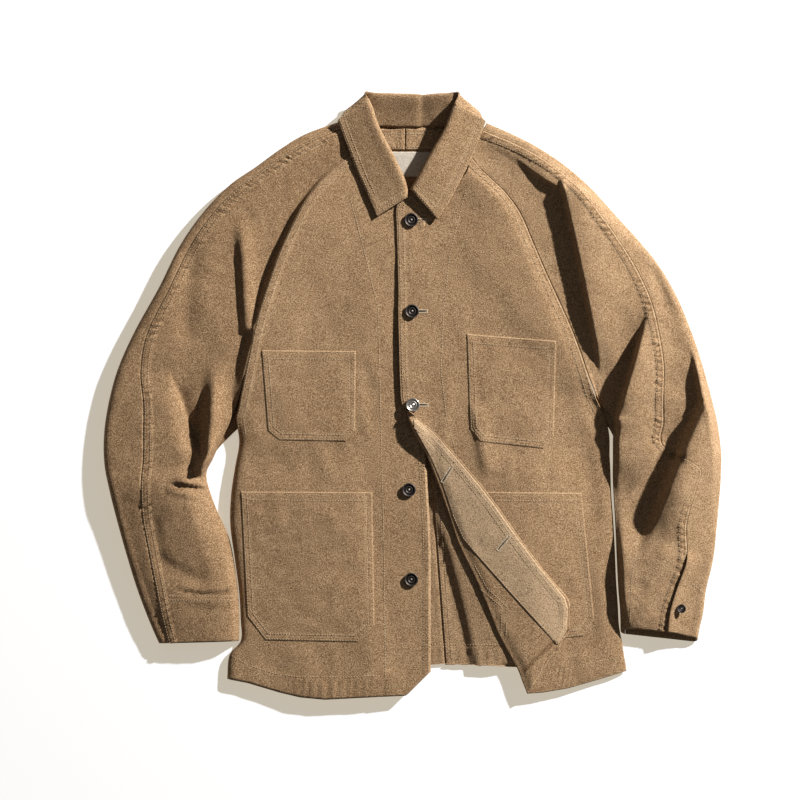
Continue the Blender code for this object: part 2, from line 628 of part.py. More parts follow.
def button(name, x, y, foot, seat, made):
    """Turned tack button: a shank under a dished cap with a raised rim."""
    radius, height = BUTTON_RADIUS, BUTTON_HEIGHT
    profile = (
        (0, seat + height - 0.9), (radius * 0.62, seat + height - 0.9), (radius * 0.72, seat + height),
        (radius * 0.94, seat + height - 0.3), (radius, seat + height - 1.3), (radius * 0.93, seat + 0.3),
        (radius * 0.8, seat), (SHANK_RADIUS, seat), (SHANK_RADIUS, foot), (0, foot),
    )
    body = bmesh.new()
    verts = [body.verts.new((r * MM, 0, z * MM)) for r, z in profile]
    for a, b in zip(verts, verts[1:]):
        body.edges.new((a, b))
    mesh = bpy.data.meshes.new(name)
    body.to_mesh(mesh)
    body.free()
    thing = bpy.data.objects.new(name, mesh)
    parts.objects.link(thing)
    thing.location = ((x + CENTRE_X) * MM, (y + CENTRE_Y) * MM, 0)
    screw = thing.modifiers.new("turn", "SCREW")
    screw.steps = 12
    screw.render_steps = 12
    screw.use_merge_vertices = True
    screw.merge_threshold = 0.00005
    dress(thing, made)
    return thing


for old in list(bpy.data.objects):
    bpy.data.objects.remove(old, do_unlink=True)
parts = bpy.data.collections.new("chore_jacket")
cutters = bpy.data.collections.new("cutters")
bpy.context.scene.collection.children.link(parts)
bpy.context.scene.collection.children.link(cutters)

canvas = material("canvas", (0.30, 0.205, 0.125), 0.9)
inside = material("canvas_inside", (0.33, 0.235, 0.15), 0.92)
woven_label = material("woven_label", (0.62, 0.58, 0.52), 0.85)
gunmetal = material("gunmetal", (0.09, 0.075, 0.07), 0.4, 0.9)
silver = material("worn_silver", (0.62, 0.6, 0.57), 0.35, 0.95)

made = {}
for name, tab, fold_table, step_out, flip in (
    ("right", SLEEVE_RIGHT, SLEEVE_RIGHT_FOLDS, 0.0, True),
    ("left", SLEEVE_LEFT, SLEEVE_LEFT_FOLDS, CUFF_STEP, False),
):
    for half, grid in (
        ("front", sleeve_front(tab, fold_table, step_out)),
        ("back", sleeve_back(tab, fold_table, step_out)),
    ):
        if (half == "front") == flip:
            grid = grid[:, ::-1]
        thing = thicken(sheet(f"sleeve_{name}_{half}", grid), WALL)
        dress(thing, canvas)
        made[thing.name] = thing

right_grid = front_right_grid()
front_right = thicken(sheet("front_right", right_grid[:, ::-1]), WALL)
left_grid = front_left_grid()
front_left = thicken(sheet("front_left", left_grid), WALL)
dress(front_right, canvas)
dress(front_left, canvas)
for name, tab, sleeve, sign in (
    ("back_right", FRONT_RIGHT, SLEEVE_RIGHT, -1),
    ("back_left", FRONT_LEFT, SLEEVE_LEFT, 1),
):
    grid = back_grid(tab, sleeve, sign)
    thing = thicken(sheet(name, grid if sign < 0 else grid[:, ::-1]), WALL)
    dress(thing, inside)
collar = thicken(sheet("collar", collar_grid()[:, ::-1]), COLLAR_WALL)
dress(collar, canvas)

# The left front's neck edge dips between its top corner and the collar.
neck_cutter = prism("neck_cutter", NECK_CUT, -5, 40)
cut(front_left, neck_cutter)

left_columns = left_grid.shape[1]
flap_first = 6 + 7 + 5 - 1
pocket_columns = {
    "front_right": (3, right_grid.shape[1] - 1, right_grid.shape[1]),
    "front_left": (3, 6 + 7 - 1, left_columns),
}
for name, outline in POCKETS.items():
    panel = front_right if name.endswith("right") else front_left
    thing = patch(name, panel, outline, pocket_columns[panel.name], LIFT, WALL)
    dress(thing, canvas)

facing = patch("front_facing_left", front_left, FACING, (flap_first, left_columns - 1, left_columns),
               WALL + LIFT, 1.0, outwards=False)
dress(facing, inside)

# Neck facing in two halves and a plain label, lying on the inside of the back.
for name, outline in NECK_PIECES.items():
    low = WALL + LIFT
    thing = prism(name, outline, low, low + 1.0)
    thing.hide_render = False
    thing.display_type = "TEXTURED"
    cutters.objects.unlink(thing)
    parts.objects.link(thing)
    dress(thing, woven_label if name == "neck_label" else inside)

# Buttons, and the buttonholes of the left front.
for k, (x, y, through) in enumerate(zip(*BUTTONS.values())):
    foot = float(front_level(np.array(x), np.array(y), False)) + LIFT
    upper = float(front_level(np.array(x), np.array(y), True)) + LIFT
    seat = upper + 0.5 if through else foot + 1.2
    button(f"button_{k + 1}", x, y, foot, seat, silver if k == 2 else gunmetal)
    if through:
        cut(front_left, prism(f"buttonhole_{k + 1}_cutter", keyhole(x, y, 0, SHANK_RADIUS + 0.6), -5, 40))
for k, (x, y, turn) in enumerate(zip(*FREE_HOLES.values())):
    slit = prism(f"free_hole_{k + 1}_cutter", keyhole(x, y, -turn, 0), FRONT_LEVEL + 6, 60)
    cut(front_left, slit)
    cut(facing, slit)

cuff_x, cuff_y = CUFF_BUTTON
button("cuff_button", cuff_x, cuff_y, CUFF_BUTTON_FOOT, CUFF_BUTTON_FOOT + 1.2, gunmetal)
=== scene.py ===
import math

import bpy
import numpy as np
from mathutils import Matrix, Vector
from mathutils.bvhtree import BVHTree


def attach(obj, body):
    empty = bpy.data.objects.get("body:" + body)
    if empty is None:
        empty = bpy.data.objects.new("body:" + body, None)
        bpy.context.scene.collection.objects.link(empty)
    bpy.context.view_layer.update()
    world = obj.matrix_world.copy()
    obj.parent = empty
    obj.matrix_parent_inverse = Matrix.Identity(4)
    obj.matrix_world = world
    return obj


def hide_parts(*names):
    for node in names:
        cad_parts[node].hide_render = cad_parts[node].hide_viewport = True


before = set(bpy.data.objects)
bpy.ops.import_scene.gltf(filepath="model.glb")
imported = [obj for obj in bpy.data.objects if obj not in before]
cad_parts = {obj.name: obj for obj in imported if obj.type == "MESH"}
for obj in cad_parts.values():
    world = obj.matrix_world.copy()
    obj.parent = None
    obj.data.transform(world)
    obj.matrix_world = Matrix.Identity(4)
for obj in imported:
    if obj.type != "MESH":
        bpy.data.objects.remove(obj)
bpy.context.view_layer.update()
print("frame loaded")

# All lengths below are millimetres on the surface the jacket lies on: +x to the wearer's left,
# +y to the collar, +z up. Meshes are written in metres.
mm = 0.001
cloth = dict(wall=1.5, flapWall=1.0, frontLevel=14.0, edgeRadius=6.0, sideRoll=14.0, seamGap=0.35,
             lowest=4.5, centreX=-0.6, centreY=1.8, gridStep=2.4)


def table(names, *rows):
    # rows of numbers as named columns
    return dict(zip(names.split(), np.array(rows, dtype=float).T))


def softStep(t):
    # 3 t squared minus 2 t cubed, with t held between 0 and 1
    t = np.clip(t, 0, 1)
    return t * t * (3 - 2 * t)


def superQuarter(t, power=2.4):
    # quarter of a superellipse: 1 minus (1 - t)^p, to the power 1/p
    t = np.clip(t, 0, 1)
    return (1 - (1 - t) ** power) ** (1 / power)


def blend(one, other, share):
    # one plus the share of the way to the other
    return one + (other - one) * share


def bump(t, width):
    # bell curve: e to the power minus (t / width) squared
    return np.exp(-(t / width) ** 2)


def readColumn(tab, name, t):
    # Catmull-Rom curve through one column of a table at the row numbers t
    column = tab[name]
    padded = np.concatenate(([2 * column[0] - column[1]], column, [2 * column[-1] - column[-2]]))
    t = np.asarray(t, dtype=float)
    low = np.clip(np.floor(t).astype(int), 0, len(column) - 2)
    f = (t - low).reshape(t.shape + (1,) * (column.ndim - 1))
    a, b, c, d = (padded[low + k] for k in range(4))
    return 0.5 * (2 * b + (c - a) * f + (2 * a - 5 * b + 4 * c - d) * f ** 2
                  + (3 * b - a - 3 * c + d) * f ** 3)


def readPair(tab, name, t):
    # two columns of a table as points
    return np.stack((readColumn(tab, name + "X", t), readColumn(tab, name + "Y", t)), axis=-1)


def runLength(points):
    # distance run along a polyline up to each of its points
    return np.cumsum(np.linalg.norm(np.diff(points, axis=0, prepend=points[:1]), axis=-1))


def pathLengths(path):
    # the same for a flat path, from its x and y steps
    return np.concatenate(([0], np.cumsum(np.hypot(*np.diff(path, axis=0).T))))


def unit(vectors, least=0.0):
    # each vector divided by its length, with a least length added where it may be nothing
    return vectors / (np.linalg.norm(vectors, axis=-1, keepdims=True) + least)


def withHeight(xy, height):
    # points in space from their places and heights
    return np.concatenate((xy, height[..., None]), axis=-1)


def rowNumbers(x, y, step):
    # row numbers whose spacing along a polyline is about one step
    lengths = np.hypot(np.diff(x), np.diff(y))
    parts = [np.linspace(i, i + 1, max(2, int(math.ceil(d / step))), endpoint=False)
             for i, d in enumerate(lengths)]
    return np.concatenate(parts + [[len(lengths)]])


def latticeNoise(x, y, size, seed):
    # random heights from -1 to 1 on a square lattice, joined by soft steps
    u, v = x / size, y / size
    i, j = np.floor(u), np.floor(v)
    f, g = softStep(u - i), softStep(v - j)

    def corner(a, b):
        # the fraction of a large sine, spread from -1 to 1
        h = np.sin(a * 127.1 + b * 311.7 + seed * 74.7) * 43758.5453
        return 2 * (h - np.floor(h)) - 1
    low = blend(corner(i, j), corner(i + 1, j), f)
    high = blend(corner(i, j + 1), corner(i + 1, j + 1), f)
    return blend(low, high, g)


def crumple(x, y, seed):
    # washed cotton: broad swells, palm-sized dents and small crumbling
    return (0.55 * latticeNoise(x, y, 52, seed) + 0.38 * latticeNoise(x + 0.4 * y, y - 0.4 * x, 24, seed + 1)
            + 0.20 * latticeNoise(x - 0.5 * y, y + 0.5 * x, 11, seed + 2)
            + 0.07 * latticeNoise(x, y, 5, seed + 3))


def bentLine(x, y, x0, y0, x1, y1, bow):
    # share of the way along a line and distance to its right, less the bow's parabola 4 s (1 - s)
    length = math.hypot(x1 - x0, y1 - y0)
    runX, runY = (x1 - x0) / length, (y1 - y0) / length
    share = ((x - x0) * runX + (y - y0) * runY) / length
    return share, (x - x0) * runY - (y - y0) * runX - 4 * bow * share * (1 - share)


def foldHeights(tab, x, y):
    # each row is a soft ridge or trough: a bent line with a bell profile, two flank widths and soft ends
    total = np.zeros(np.shape(x))
    for *line, rise, left, right in zip(*tab.values()):
        share, across = bentLine(x, y, *line)
        width = np.where(across < 0, left, right)
        ends = softStep(share / 0.25) * softStep((1 - share) / 0.25)
        total = total + rise * bump(across, width) * ends
    return total


def stepHeights(tab, x, y):
    # each row is a folded edge: along a bent line the cloth jumps up to its right-hand side within the
    # width steep, and eases back over the width ease; fadeIn and fadeOut are shares of its length
    total = np.zeros(np.shape(x))
    for *line, rise, steep, ease, fadeIn, fadeOut in zip(*tab.values()):
        share, across = bentLine(x, y, *line)
        jump = softStep((across + steep / 2) / steep)
        jump = jump * bump(np.maximum(across - steep / 2, 0), ease)
        total = total + rise * jump * softStep(share / fadeIn) * softStep((1 - share) / fadeOut)
    return total


def puckers(d, along, seed, width, pitch):
    # slanted waves along a seam, uneven in phase and strength, which fade beyond its rows of stitches
    drift = latticeNoise(along, 0 * along, 19, seed + 5) + 0.6 * latticeNoise(along, 0 * along, 7, seed + 6)
    phase = 2 * math.pi * (along + 0.45 * d) / pitch + 2.4 * drift
    strength = np.clip(0.65 + 0.75 * latticeNoise(along, 0.4 * d, 17, seed), 0.05, 1.5)
    strength = strength * (0.7 + 0.5 * latticeNoise(along, 0 * along, 5, seed + 9))
    wave = np.sin(phase) + 0.35 * np.sin(2 * phase + 1.1)
    return wave * strength * softStep((d - 0.8) / 2) * softStep((width + 2.5 - d) / 4)


def feltedBand(d, along, seed, width=11.0, rise=0.75, pucker=0.42, pitch=6.6):
    # a felled seam or turned edge: a raised strip from d = 0 to its width with two grooves of stitches,
    # drawn into puckers
    strip = softStep(d / 1.2) * softStep((width - d) / 1.6)
    groove = bump(d - 2.0, 0.9) + bump(d - (width - 2.0), 0.9)
    return rise * strip - 0.3 * groove * (d > -1) + pucker * puckers(d, along, seed, width, pitch)


def bandShade(d, along, seed, width=11.0, pitch=6.6, edge=0.8, dark=0.5):
    # rubbed pale at the strip's two edges; painted shade in the grooves of the stitches and between puckers, and
    # painted highlights on the puckers' crests
    pale = edge * (bump(d - width, 1.2) + bump(d, 1.3)) + 0.2 * softStep(d) * softStep(width - d)
    groove = bump(d - 2.3, 0.9) + bump(d - (width - 2.3), 0.9)
    wave = puckers(d, along, seed, width, pitch)
    return pale - dark * (groove * (d > 0) + 0.9 * np.maximum(-wave, 0)) + 0.5 * np.maximum(wave, 0)


def toMetres(points):
    # millimetres on the surface to metres in the shared frame
    return (points + (cloth["centreX"], cloth["centreY"], 0)) * mm


def gridQuads(rows, columns):
    # the four corner numbers of every cell of a grid
    index = np.arange(rows * columns).reshape(rows, columns)
    cells = (index[:-1, :-1], index[:-1, 1:], index[1:, 1:], index[1:, :-1])
    return np.stack(cells, axis=-1).reshape(-1, 4)


def addObject(name, data):
    # an object at the origin, linked into the scene
    made = bpy.data.objects.new(name, data)
    bpy.context.scene.collection.objects.link(made)
    return made


def buildSurface(name, points, wall, flip, worn, material, uvShift=(0, 0)):
    # quads through a grid of points, with the distances along both ways as the UV map in decimetres
    rows, columns = points.shape[:2]
    quads = gridQuads(rows, columns)
    if flip:
        quads = quads[:, ::-1]
    place = toMetres(points.reshape(-1, 3))
    mesh = bpy.data.meshes.new(name)
    mesh.vertices.add(len(place))
    mesh.vertices.foreach_set("co", place.astype(np.float32).ravel())
    mesh.loops.add(quads.size)
    mesh.loops.foreach_set("vertex_index", quads.astype(np.int32).ravel())
    mesh.polygons.add(len(quads))
    mesh.polygons.foreach_set("loop_start", np.arange(0, quads.size, 4, dtype=np.int32))
    mesh.polygons.foreach_set("use_smooth", np.ones(len(quads), dtype=bool))
    mesh.update(calc_edges=True)
    acrossStep = np.linalg.norm(np.diff(points, axis=1), axis=-1)
    alongStep = np.linalg.norm(np.diff(points, axis=0), axis=-1)
    s = np.concatenate((np.zeros((rows, 1)), np.cumsum(acrossStep, axis=1)), axis=1)
    r = np.concatenate((np.zeros((1, columns)), np.cumsum(alongStep, axis=0)), axis=0)
    middle = r[:, columns // 2:columns // 2 + 1] + 0 * s
    uv = np.stack((s / 100 + uvShift[0], middle / 100 + uvShift[1]), axis=-1)
    uv = uv.reshape(-1, 2)[quads.ravel()]
    layer = mesh.uv_layers.new(name="cloth")
    layer.data.foreach_set("uv", uv.astype(np.float32).ravel())
    wearAndLightData = mesh.attributes.new("worn", "FLOAT", "POINT")
    wearAndLightValues = np.zeros(len(place)) if worn is None else np.clip(worn, -1, 1).ravel()
    wearAndLightData.data.foreach_set("value", wearAndLightValues.astype(np.float32))
    mesh.materials.append(material)
    piece = addObject(name, mesh)
    solid = piece.modifiers.new("wall", "SOLIDIFY")
    solid.thickness = wall * mm
    solid.offset = -1
    return piece


def rayTree(piece):
    # the piece's open sheet as a ray tree, in millimetres
    mesh = piece.data
    flat = np.empty(len(mesh.vertices) * 3, dtype=np.float32)
    mesh.vertices.foreach_get("co", flat)
    verts = flat.reshape(-1, 3) / mm - (cloth["centreX"], cloth["centreY"], 0)
    loops = np.empty(len(mesh.loops), dtype=np.int32)
    mesh.loops.foreach_get("vertex_index", loops)
    return BVHTree.FromPolygons(verts.tolist(), loops.reshape(-1, 4).tolist())


def dropOnto(tree, x, y):
    # heights and normals where rays from well above meet a sheet
    down, start = Vector((0, 0, -1.0)), 200.0
    hits = [tree.ray_cast(Vector((a, b, start)), down) for a, b in zip(x.ravel(), y.ravel())]
    height = np.array([h[0].z if h[0] else np.nan for h in hits])
    normal = np.array([tuple(h[1]) if h[0] else (0, 0, 1) for h in hits])
    normal = normal * np.sign(normal[:, 2:3] + 1e-9)
    return height.reshape(x.shape), normal.reshape(x.shape + (3,))


# one stitch: four rings of five points along its length, the middle two full and the ends drawn in
stitch = dict(length=2.3, pitch=3.5, width=0.42, height=0.32, lift=0.12)
stitchTemplate = np.array([(u, w * r, h * r) for u, r in ((-1, 0.35), (-0.6, 1), (0.6, 1), (1, 0.35))
                           for w, h in ((-1, 0), (-0.6, 0.9), (0.6, 0.9), (1, 0), (0, -0.8))])
stitchFaces = np.array([(a * 5 + k, a * 5 + (k + 1) % 5, a * 5 + 5 + (k + 1) % 5, a * 5 + 5 + k)
                        for a in range(3) for k in range(5)])
stitchCaps = ((4, 3, 2, 1, 0), (15, 16, 17, 18, 19))
stitchRows = {}


def walk(path, pitch):
    # points at even steps along a polyline, with their directions
    path = np.asarray(path, dtype=float)
    along = pathLengths(path)
    at = np.arange(pitch / 2, along[-1], pitch)
    x = np.interp(at, along, path[:, 0])
    y = np.interp(at, along, path[:, 1])
    ahead = np.clip(at + 0.5, 0, along[-1])
    behind = np.clip(at - 0.5, 0, along[-1])
    dx = np.interp(ahead, along, path[:, 0]) - np.interp(behind, along, path[:, 0])
    dy = np.interp(ahead, along, path[:, 1]) - np.interp(behind, along, path[:, 1])
    size = np.hypot(dx, dy) + 1e-9
    return x, y, dx / size, dy / size


def sidePath(path, shift):
    # a polyline moved sideways, to the left of its direction for a positive shift
    path = np.asarray(path, dtype=float)
    way = unit(np.gradient(path, axis=0))
    return path + shift * np.stack((-way[:, 1], way[:, 0]), axis=1)


def polyline(*points):
    # straight runs through the points, with extra points every few millimetres
    points = np.asarray(points, dtype=float)
    parts = [np.linspace(a, b, max(2, int(np.hypot(*(b - a)) / 4)), endpoint=False)
             for a, b in zip(points, points[1:])]
    return np.concatenate(parts + [points[-1:]])


def sew(group, tree, path, lift=0.0, scale=1.0, minHeight=-99, pitch=None):
    # adds a row of stitches that lie on a sheet along a path
    x, y, dx, dy = walk(path, (pitch or stitch["pitch"]) * scale)
    z, normal = dropOnto(tree, x, y)
    good = ~np.isnan(z) & (z > minHeight)
    if not good.any():
        return
    x, y, z, dx, dy, normal = x[good], y[good], z[good], dx[good], dy[good], normal[good]
    climb = -(normal[:, 0] * dx + normal[:, 1] * dy) / np.maximum(normal[:, 2], 0.25)
    tangent = unit(np.stack((dx, dy, climb), axis=1))
    side = np.cross(normal, tangent)
    place = np.stack((x, y, z), axis=1) + normal * (stitch["lift"] + lift)
    stitchRows.setdefault(group, []).append((place, tangent, side, normal, scale))


def finishStitches(group, material):
    # all the rows of one group as one mesh: the template carried by every stitch's own frame
    rows = stitchRows[group]
    place, tangent, side, normal = (np.concatenate([row[k] for row in rows])[:, None, :] for k in range(4))
    scale = np.concatenate([np.full(len(row[0]), row[4]) for row in rows])[:, None, None]
    t = stitchTemplate[None, :, :] * scale
    verts = (place + tangent * t[..., 0:1] * stitch["length"] / 2
             + side * t[..., 1:2] * stitch["width"] + normal * t[..., 2:3] * stitch["height"])
    ends = np.arange(len(place))[:, None] * len(stitchTemplate)
    faces = (stitchFaces[None, :, :] + ends[:, :, None]).reshape(-1, 4)
    caps = [(ends + np.array(cap)).tolist() for cap in stitchCaps]
    mesh = bpy.data.meshes.new(group)
    mesh.from_pydata(toMetres(verts.reshape(-1, 3)).tolist(), [], faces.tolist() + caps[0] + caps[1])
    mesh.polygons.foreach_set("use_smooth", np.ones(len(mesh.polygons), dtype=bool))
    mesh.materials.append(material)
    piece = addObject(group, mesh)
    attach(piece, "root")
    print(group, len(place), "stitches")


class Socket:
    # a shader socket with the arithmetic of its Math nodes
    def __init__(self, tree, link):
        self.tree, self.link = tree, link

    def math(self, operation, *others, clamp=False):
        made = nodeOf(self.tree, "ShaderNodeMath", dict(operation=operation, use_clamp=clamp),
                      {k: v for k, v in enumerate((self,) + others)})
        return Socket(self.tree, made.outputs[0])

    def __add__(self, other):
        return self.math("ADD", other)

    def __mul__(self, other):
        return self.math("MULTIPLY", other)

    def __sub__(self, other):
        return self.math("SUBTRACT", other)


def plug(tree, node, sockets):
    # gives a node's sockets their values or links
    for key, value in sockets.items():
        if isinstance(value, Socket):
            tree.links.new(value.link, node.inputs[key])
        else:
            node.inputs[key].default_value = value


def nodeOf(tree, kind, settings=None, sockets=None):
    # one node: its settings first, then its sockets
    made = tree.nodes.new(kind)
    for key, value in (settings or {}).items():
        setattr(made, key, value)
    plug(tree, made, sockets or {})
    return made


def reading(tree, kind, output, settings=None, sockets=None):
    # one output of a new node
    return Socket(tree, nodeOf(tree, kind, settings, sockets).outputs[output])


def placeOf(tree):
    # the place on the piece, in metres
    return reading(tree, "ShaderNodeTexCoord", "Object")


def wearAndPaintedLightOf(tree):
    # the vertex attribute: above 0 pale wear, and on cloth also painted highlights and painted light; below 0
    # painted shade
    return reading(tree, "ShaderNodeAttribute", "Fac", dict(attribute_name="worn"))


def noiseOf(tree, where, scale, detail=2.0, rough=0.5):
    # a noise's value from 0 to 1, with its number of patches in a metre or in a unit of the UV map
    return reading(tree, "ShaderNodeTexNoise", "Fac", None,
                   {"Vector": where, "Scale": scale, "Detail": detail, "Roughness": rough})


def newMaterial(name):
    # a material with its node tree and its one shader
    made = bpy.data.materials.new(name)
    made.use_nodes = True
    return made, made.node_tree, made.node_tree.nodes["Principled BSDF"]


def mixColours(tree, factor, one, other):
    # one colour plus the factor of the way to the other
    one, other = (c if isinstance(c, Socket) else (*c[:3], 1) for c in (one, other))
    return reading(tree, "ShaderNodeMix", 2, dict(data_type="RGBA"), {0: factor, 6: one, 7: other})


# dark is the colour for painted shade and the grain's dark specks; light for the grain's pale specks, pale wear,
# painted highlights and painted light
canvasLook = dict(base=(0.318, 0.195, 0.104), dark=(0.150, 0.086, 0.042), light=(0.545, 0.385, 0.238),
                  inside=(0.325, 0.206, 0.114), facing=(0.465, 0.333, 0.214),
                  roughness=0.95, gloss=0.12)


def canvasMaterial(name, base):
    # washed twill: slanted ribs, slubs along the threads, speckled grain, and from the vertex attribute pale wear
    # with painted highlights and painted light above 0, and painted shade below it
    made, tree, shader = newMaterial(name)
    where = placeOf(tree)
    uv = reading(tree, "ShaderNodeUVMap", "UV", dict(uv_map="cloth"))

    def threads(x, y):
        # noise along the cloth, drawn out by its two scales
        stretched = reading(tree, "ShaderNodeVectorMath", 0, dict(operation="MULTIPLY"),
                            {0: uv, 1: (x, y, 1.0)})
        return noiseOf(tree, stretched, 1.0, 3, 0.65)
    worn = wearAndPaintedLightOf(tree)
    cloudy = noiseOf(tree, where, 7, 3, 0.6)
    mottled = noiseOf(tree, where, 60, 5, 0.7)
    grain = noiseOf(tree, where, 720, 3, 0.8)
    slub, weft = threads(70.0, 16.0), threads(14.0, 85.0)
    twill = reading(tree, "ShaderNodeTexWave", "Fac", dict(wave_type="BANDS", bands_direction="DIAGONAL"),
                    {"Vector": uv, "Scale": 34.0, "Distortion": 5.0, "Detail": 2.0, "Detail Scale": 3.0})
    shade = ((cloudy - 0.5) * 0.40 + (mottled - 0.5) * 0.95 + (slub - 0.5) * 1.3 + (weft - 0.5) * 1.2
             + (grain - 0.5) * 8.6 + (twill - 0.5) * 0.2)
    # the attribute darkens below 0, where it is painted shade, and through rubbed lightens above 0, where it is
    # pale wear, painted highlights and painted light
    darkAmount = (shade * -0.95 - worn * 0.88).math("MAXIMUM", 0.0, clamp=True)
    rubbed = worn * (mottled * 1.6 - 0.25 + grain * 0.5) * 0.62
    lightAmount = (shade * 0.85 + rubbed).math("MAXIMUM", 0.0, clamp=True)
    colour = mixColours(tree, darkAmount, base, canvasLook["dark"])
    colour = mixColours(tree, lightAmount, colour, canvasLook["light"])
    height = twill * 0.2 + grain * 1.7 + slub * 0.4 + weft * 0.4 + mottled * 0.7
    relief = reading(tree, "ShaderNodeBump", "Normal", None,
                     {"Height": height, "Strength": 0.6, "Distance": 0.0007})
    plug(tree, shader, {"Base Color": colour, "Roughness": canvasLook["roughness"],
                        "Specular IOR Level": canvasLook["gloss"], "Normal": relief})
    return made


def threadMaterial(name, colour):
    # sewing thread, between 0.75 and 1.2 of its colour in soft patches
    made, tree, shader = newMaterial(name)
    patch = noiseOf(tree, placeOf(tree), 60.0)
    tone = mixColours(tree, patch, tuple(c * 0.75 for c in colour), tuple(min(1, c * 1.2) for c in colour))
    plug(tree, shader, {"Base Color": tone, "Roughness": 0.7})
    return made


def metalMaterial(name, colour, rubbed, roughness):
    # tarnished metal, rubbed bright where the vertex attribute gives wear, with scratches in its colour and gloss
    made, tree, shader = newMaterial(name)
    where = placeOf(tree)
    scratch = noiseOf(tree, where, 700.0, 3.0)
    blotch = noiseOf(tree, where, 220.0)
    amount = (wearAndPaintedLightOf(tree) * (blotch + 0.5) + (scratch - 0.5) * 0.3).math("MAXIMUM", 0.0, clamp=True)
    plug(tree, shader, {"Base Color": mixColours(tree, amount, colour, rubbed),
                        "Roughness": scratch * 0.25 + roughness - 0.1, "Metallic": 0.9})
    return made


canvas = canvasMaterial("washed canvas", canvasLook["base"])
canvasInside = canvasMaterial("canvas reverse", canvasLook["inside"])
canvasFacing = canvasMaterial("canvas facing", canvasLook["facing"])
thread = threadMaterial("tan thread", (0.50, 0.37, 0.235))
holeThread = threadMaterial("buttonhole thread", (0.62, 0.50, 0.36))
gunmetal = metalMaterial("gunmetal", (0.030, 0.024, 0.023), (0.30, 0.27, 0.25), 0.5)
wornSilver = metalMaterial("worn silver", (0.42, 0.40, 0.37), (0.80, 0.78, 0.74), 0.32)
# a near-black sheet: painted shade standing for the parting of each buttonhole
paintedSlitShade, slitTree, slitShader = newMaterial("buttonhole slit")
plug(slitTree, slitShader, {"Base Color": (0.018, 0.011, 0.007, 1), "Roughness": 1.0})
print("materials made")

# outer and inner are the sleeve's two folded edges, seam the overarm seam's share of the width from
# the outer edge and open 1 where it joins the body. The height across each row runs through z0 at
# the inner edge, z1 to z4 at the shares s1 to s4 of the width, and z5 twelve short of the outer edge.
sleeveRight = dict(
    # tone below 0 darkens this whole sleeve: painted shade for the sleeve that lies away from the lamp
    name="sleeve_right", mirror=-1, tone=-0.26, cuffStep=0.0, seed=3, gusset=(10.4, 1.2),
    rows=table(
        "outerX outerY innerX innerY seam open z0 s1 z1 s2 z2 s3 z3 s4 z4 z5",
        (-90, 351, -76, 308, 0.16, 1, 14, 0.20, 13.5, 0.40, 14, 0.60, 14, 0.75, 13, 11),
        (-136, 334, -97, 291, 0.18, 1, 15, 0.10, 13, 0.35, 15, 0.55, 17, 0.75, 17, 15),
        (-168, 315, -118, 271, 0.15, 1, 17.5, 0.08, 12, 0.30, 14.5, 0.55, 18.5, 0.75, 19.5, 18),
        (-201, 291, -138, 245, 0.12, 1, 19.5, 0.07, 12, 0.26, 14, 0.50, 17, 0.75, 20, 19),
        (-234, 268, -155, 213, 0.11, 1, 20.5, 0.06, 12, 0.24, 14, 0.50, 17, 0.75, 20, 20),
        (-268, 233, -171, 178, 0.10, 1, 21, 0.05, 12, 0.22, 14, 0.50, 17.5, 0.80, 20.5, 20),
        (-298, 190, -187, 133, 0.10, 1, 21, 0.05, 12, 0.20, 14, 0.50, 17.5, 0.82, 20.5, 20.5),
        (-325, 136, -200, 90, 0.10, 1, 21, 0.04, 11.5, 0.18, 13.5, 0.48, 18, 0.82, 21, 21),
        (-355, 82, -210, 45, 0.11, 1, 19, 0.08, 10, 0.19, 13, 0.45, 15, 0.70, 19, 20),
        (-376, 36, -219, 2, 0.18, 0.9, 16, 0.09, 10, 0.20, 9, 0.42, 11, 0.70, 17, 19),
        (-388, -5, -226, -28, 0.27, 0.4, 11, 0.06, 9, 0.20, 8, 0.40, 12, 0.70, 18, 18),
        (-395, -48, -241, -52, 0.33, 0, 6, 0.06, 9, 0.15, 8, 0.32, 13, 0.65, 20, 18),
        (-395, -88, -255, -82, 0.36, 0, 6, 0.03, 20, 0.10, 12, 0.17, 17, 0.60, 21, 19),
        (-388, -125, -264, -106, 0.33, 0, 6, 0.10, 19, 0.24, 25, 0.42, 27, 0.70, 24, 20),
        (-378, -165, -252, -146, 0.26, 0, 6, 0.10, 19, 0.26, 27, 0.40, 27, 0.68, 22, 18),
        (-366, -208, -235, -185, 0.22, 0, 6, 0.10, 18, 0.30, 26, 0.58, 23, 0.80, 20, 17),
        (-353, -250, -226, -232, 0.19, 0, 6, 0.08, 18, 0.26, 22, 0.52, 22, 0.80, 19, 16),
        (-338, -290, -222, -275, 0.15, 0, 6, 0.08, 16, 0.30, 20, 0.60, 20, 0.80, 18, 15),
        (-325, -320, -222, -317, 0.12, 0, 6, 0.08, 14, 0.30, 17, 0.60, 17, 0.80, 16, 14)),
    folds=table(
        "x0 y0 x1 y1 bow rise left right",
        (-284, 215, -290, 55, 0, -3.5, 13, 18),
        (-318, -120, -262, -132, 2, 2, 6, 5),
        (-332, -206, -252, -246, 4, -2.4, 9, 14),
        (-300, -262, -226, -264, 3, 1.2, 6, 6),
        (-330, -150, -318, -226, 3, -2, 8, 10),
        (-304, 20, -276, -92, 0, -6, 12, 10)),
    steps=table(
        "x0 y0 x1 y1 bow rise steep ease fadeIn fadeOut",
        (-216, 70, -225, 232, 0, 7, 13, 12, 0.1, 0.35),
        (-276, -109, -260, 52, 3, 21, 18, 14, 0.08, 0.55),
        (-314, 34, -264, -100, 0, 7, 4, 34, 0.3, 0.3),
        (-246, -127, -316, -113, 3, 7, 3, 15, 0.1, 0.4),
        (-226, -249, -302, -248, -5, 2.6, 2.2, 14, 0.1, 0.25)),
    quiet=(90, 91),
    cuffRows=(((-312, -259), (-222, -259)), ((-312, -264), (-222, -264))),
)
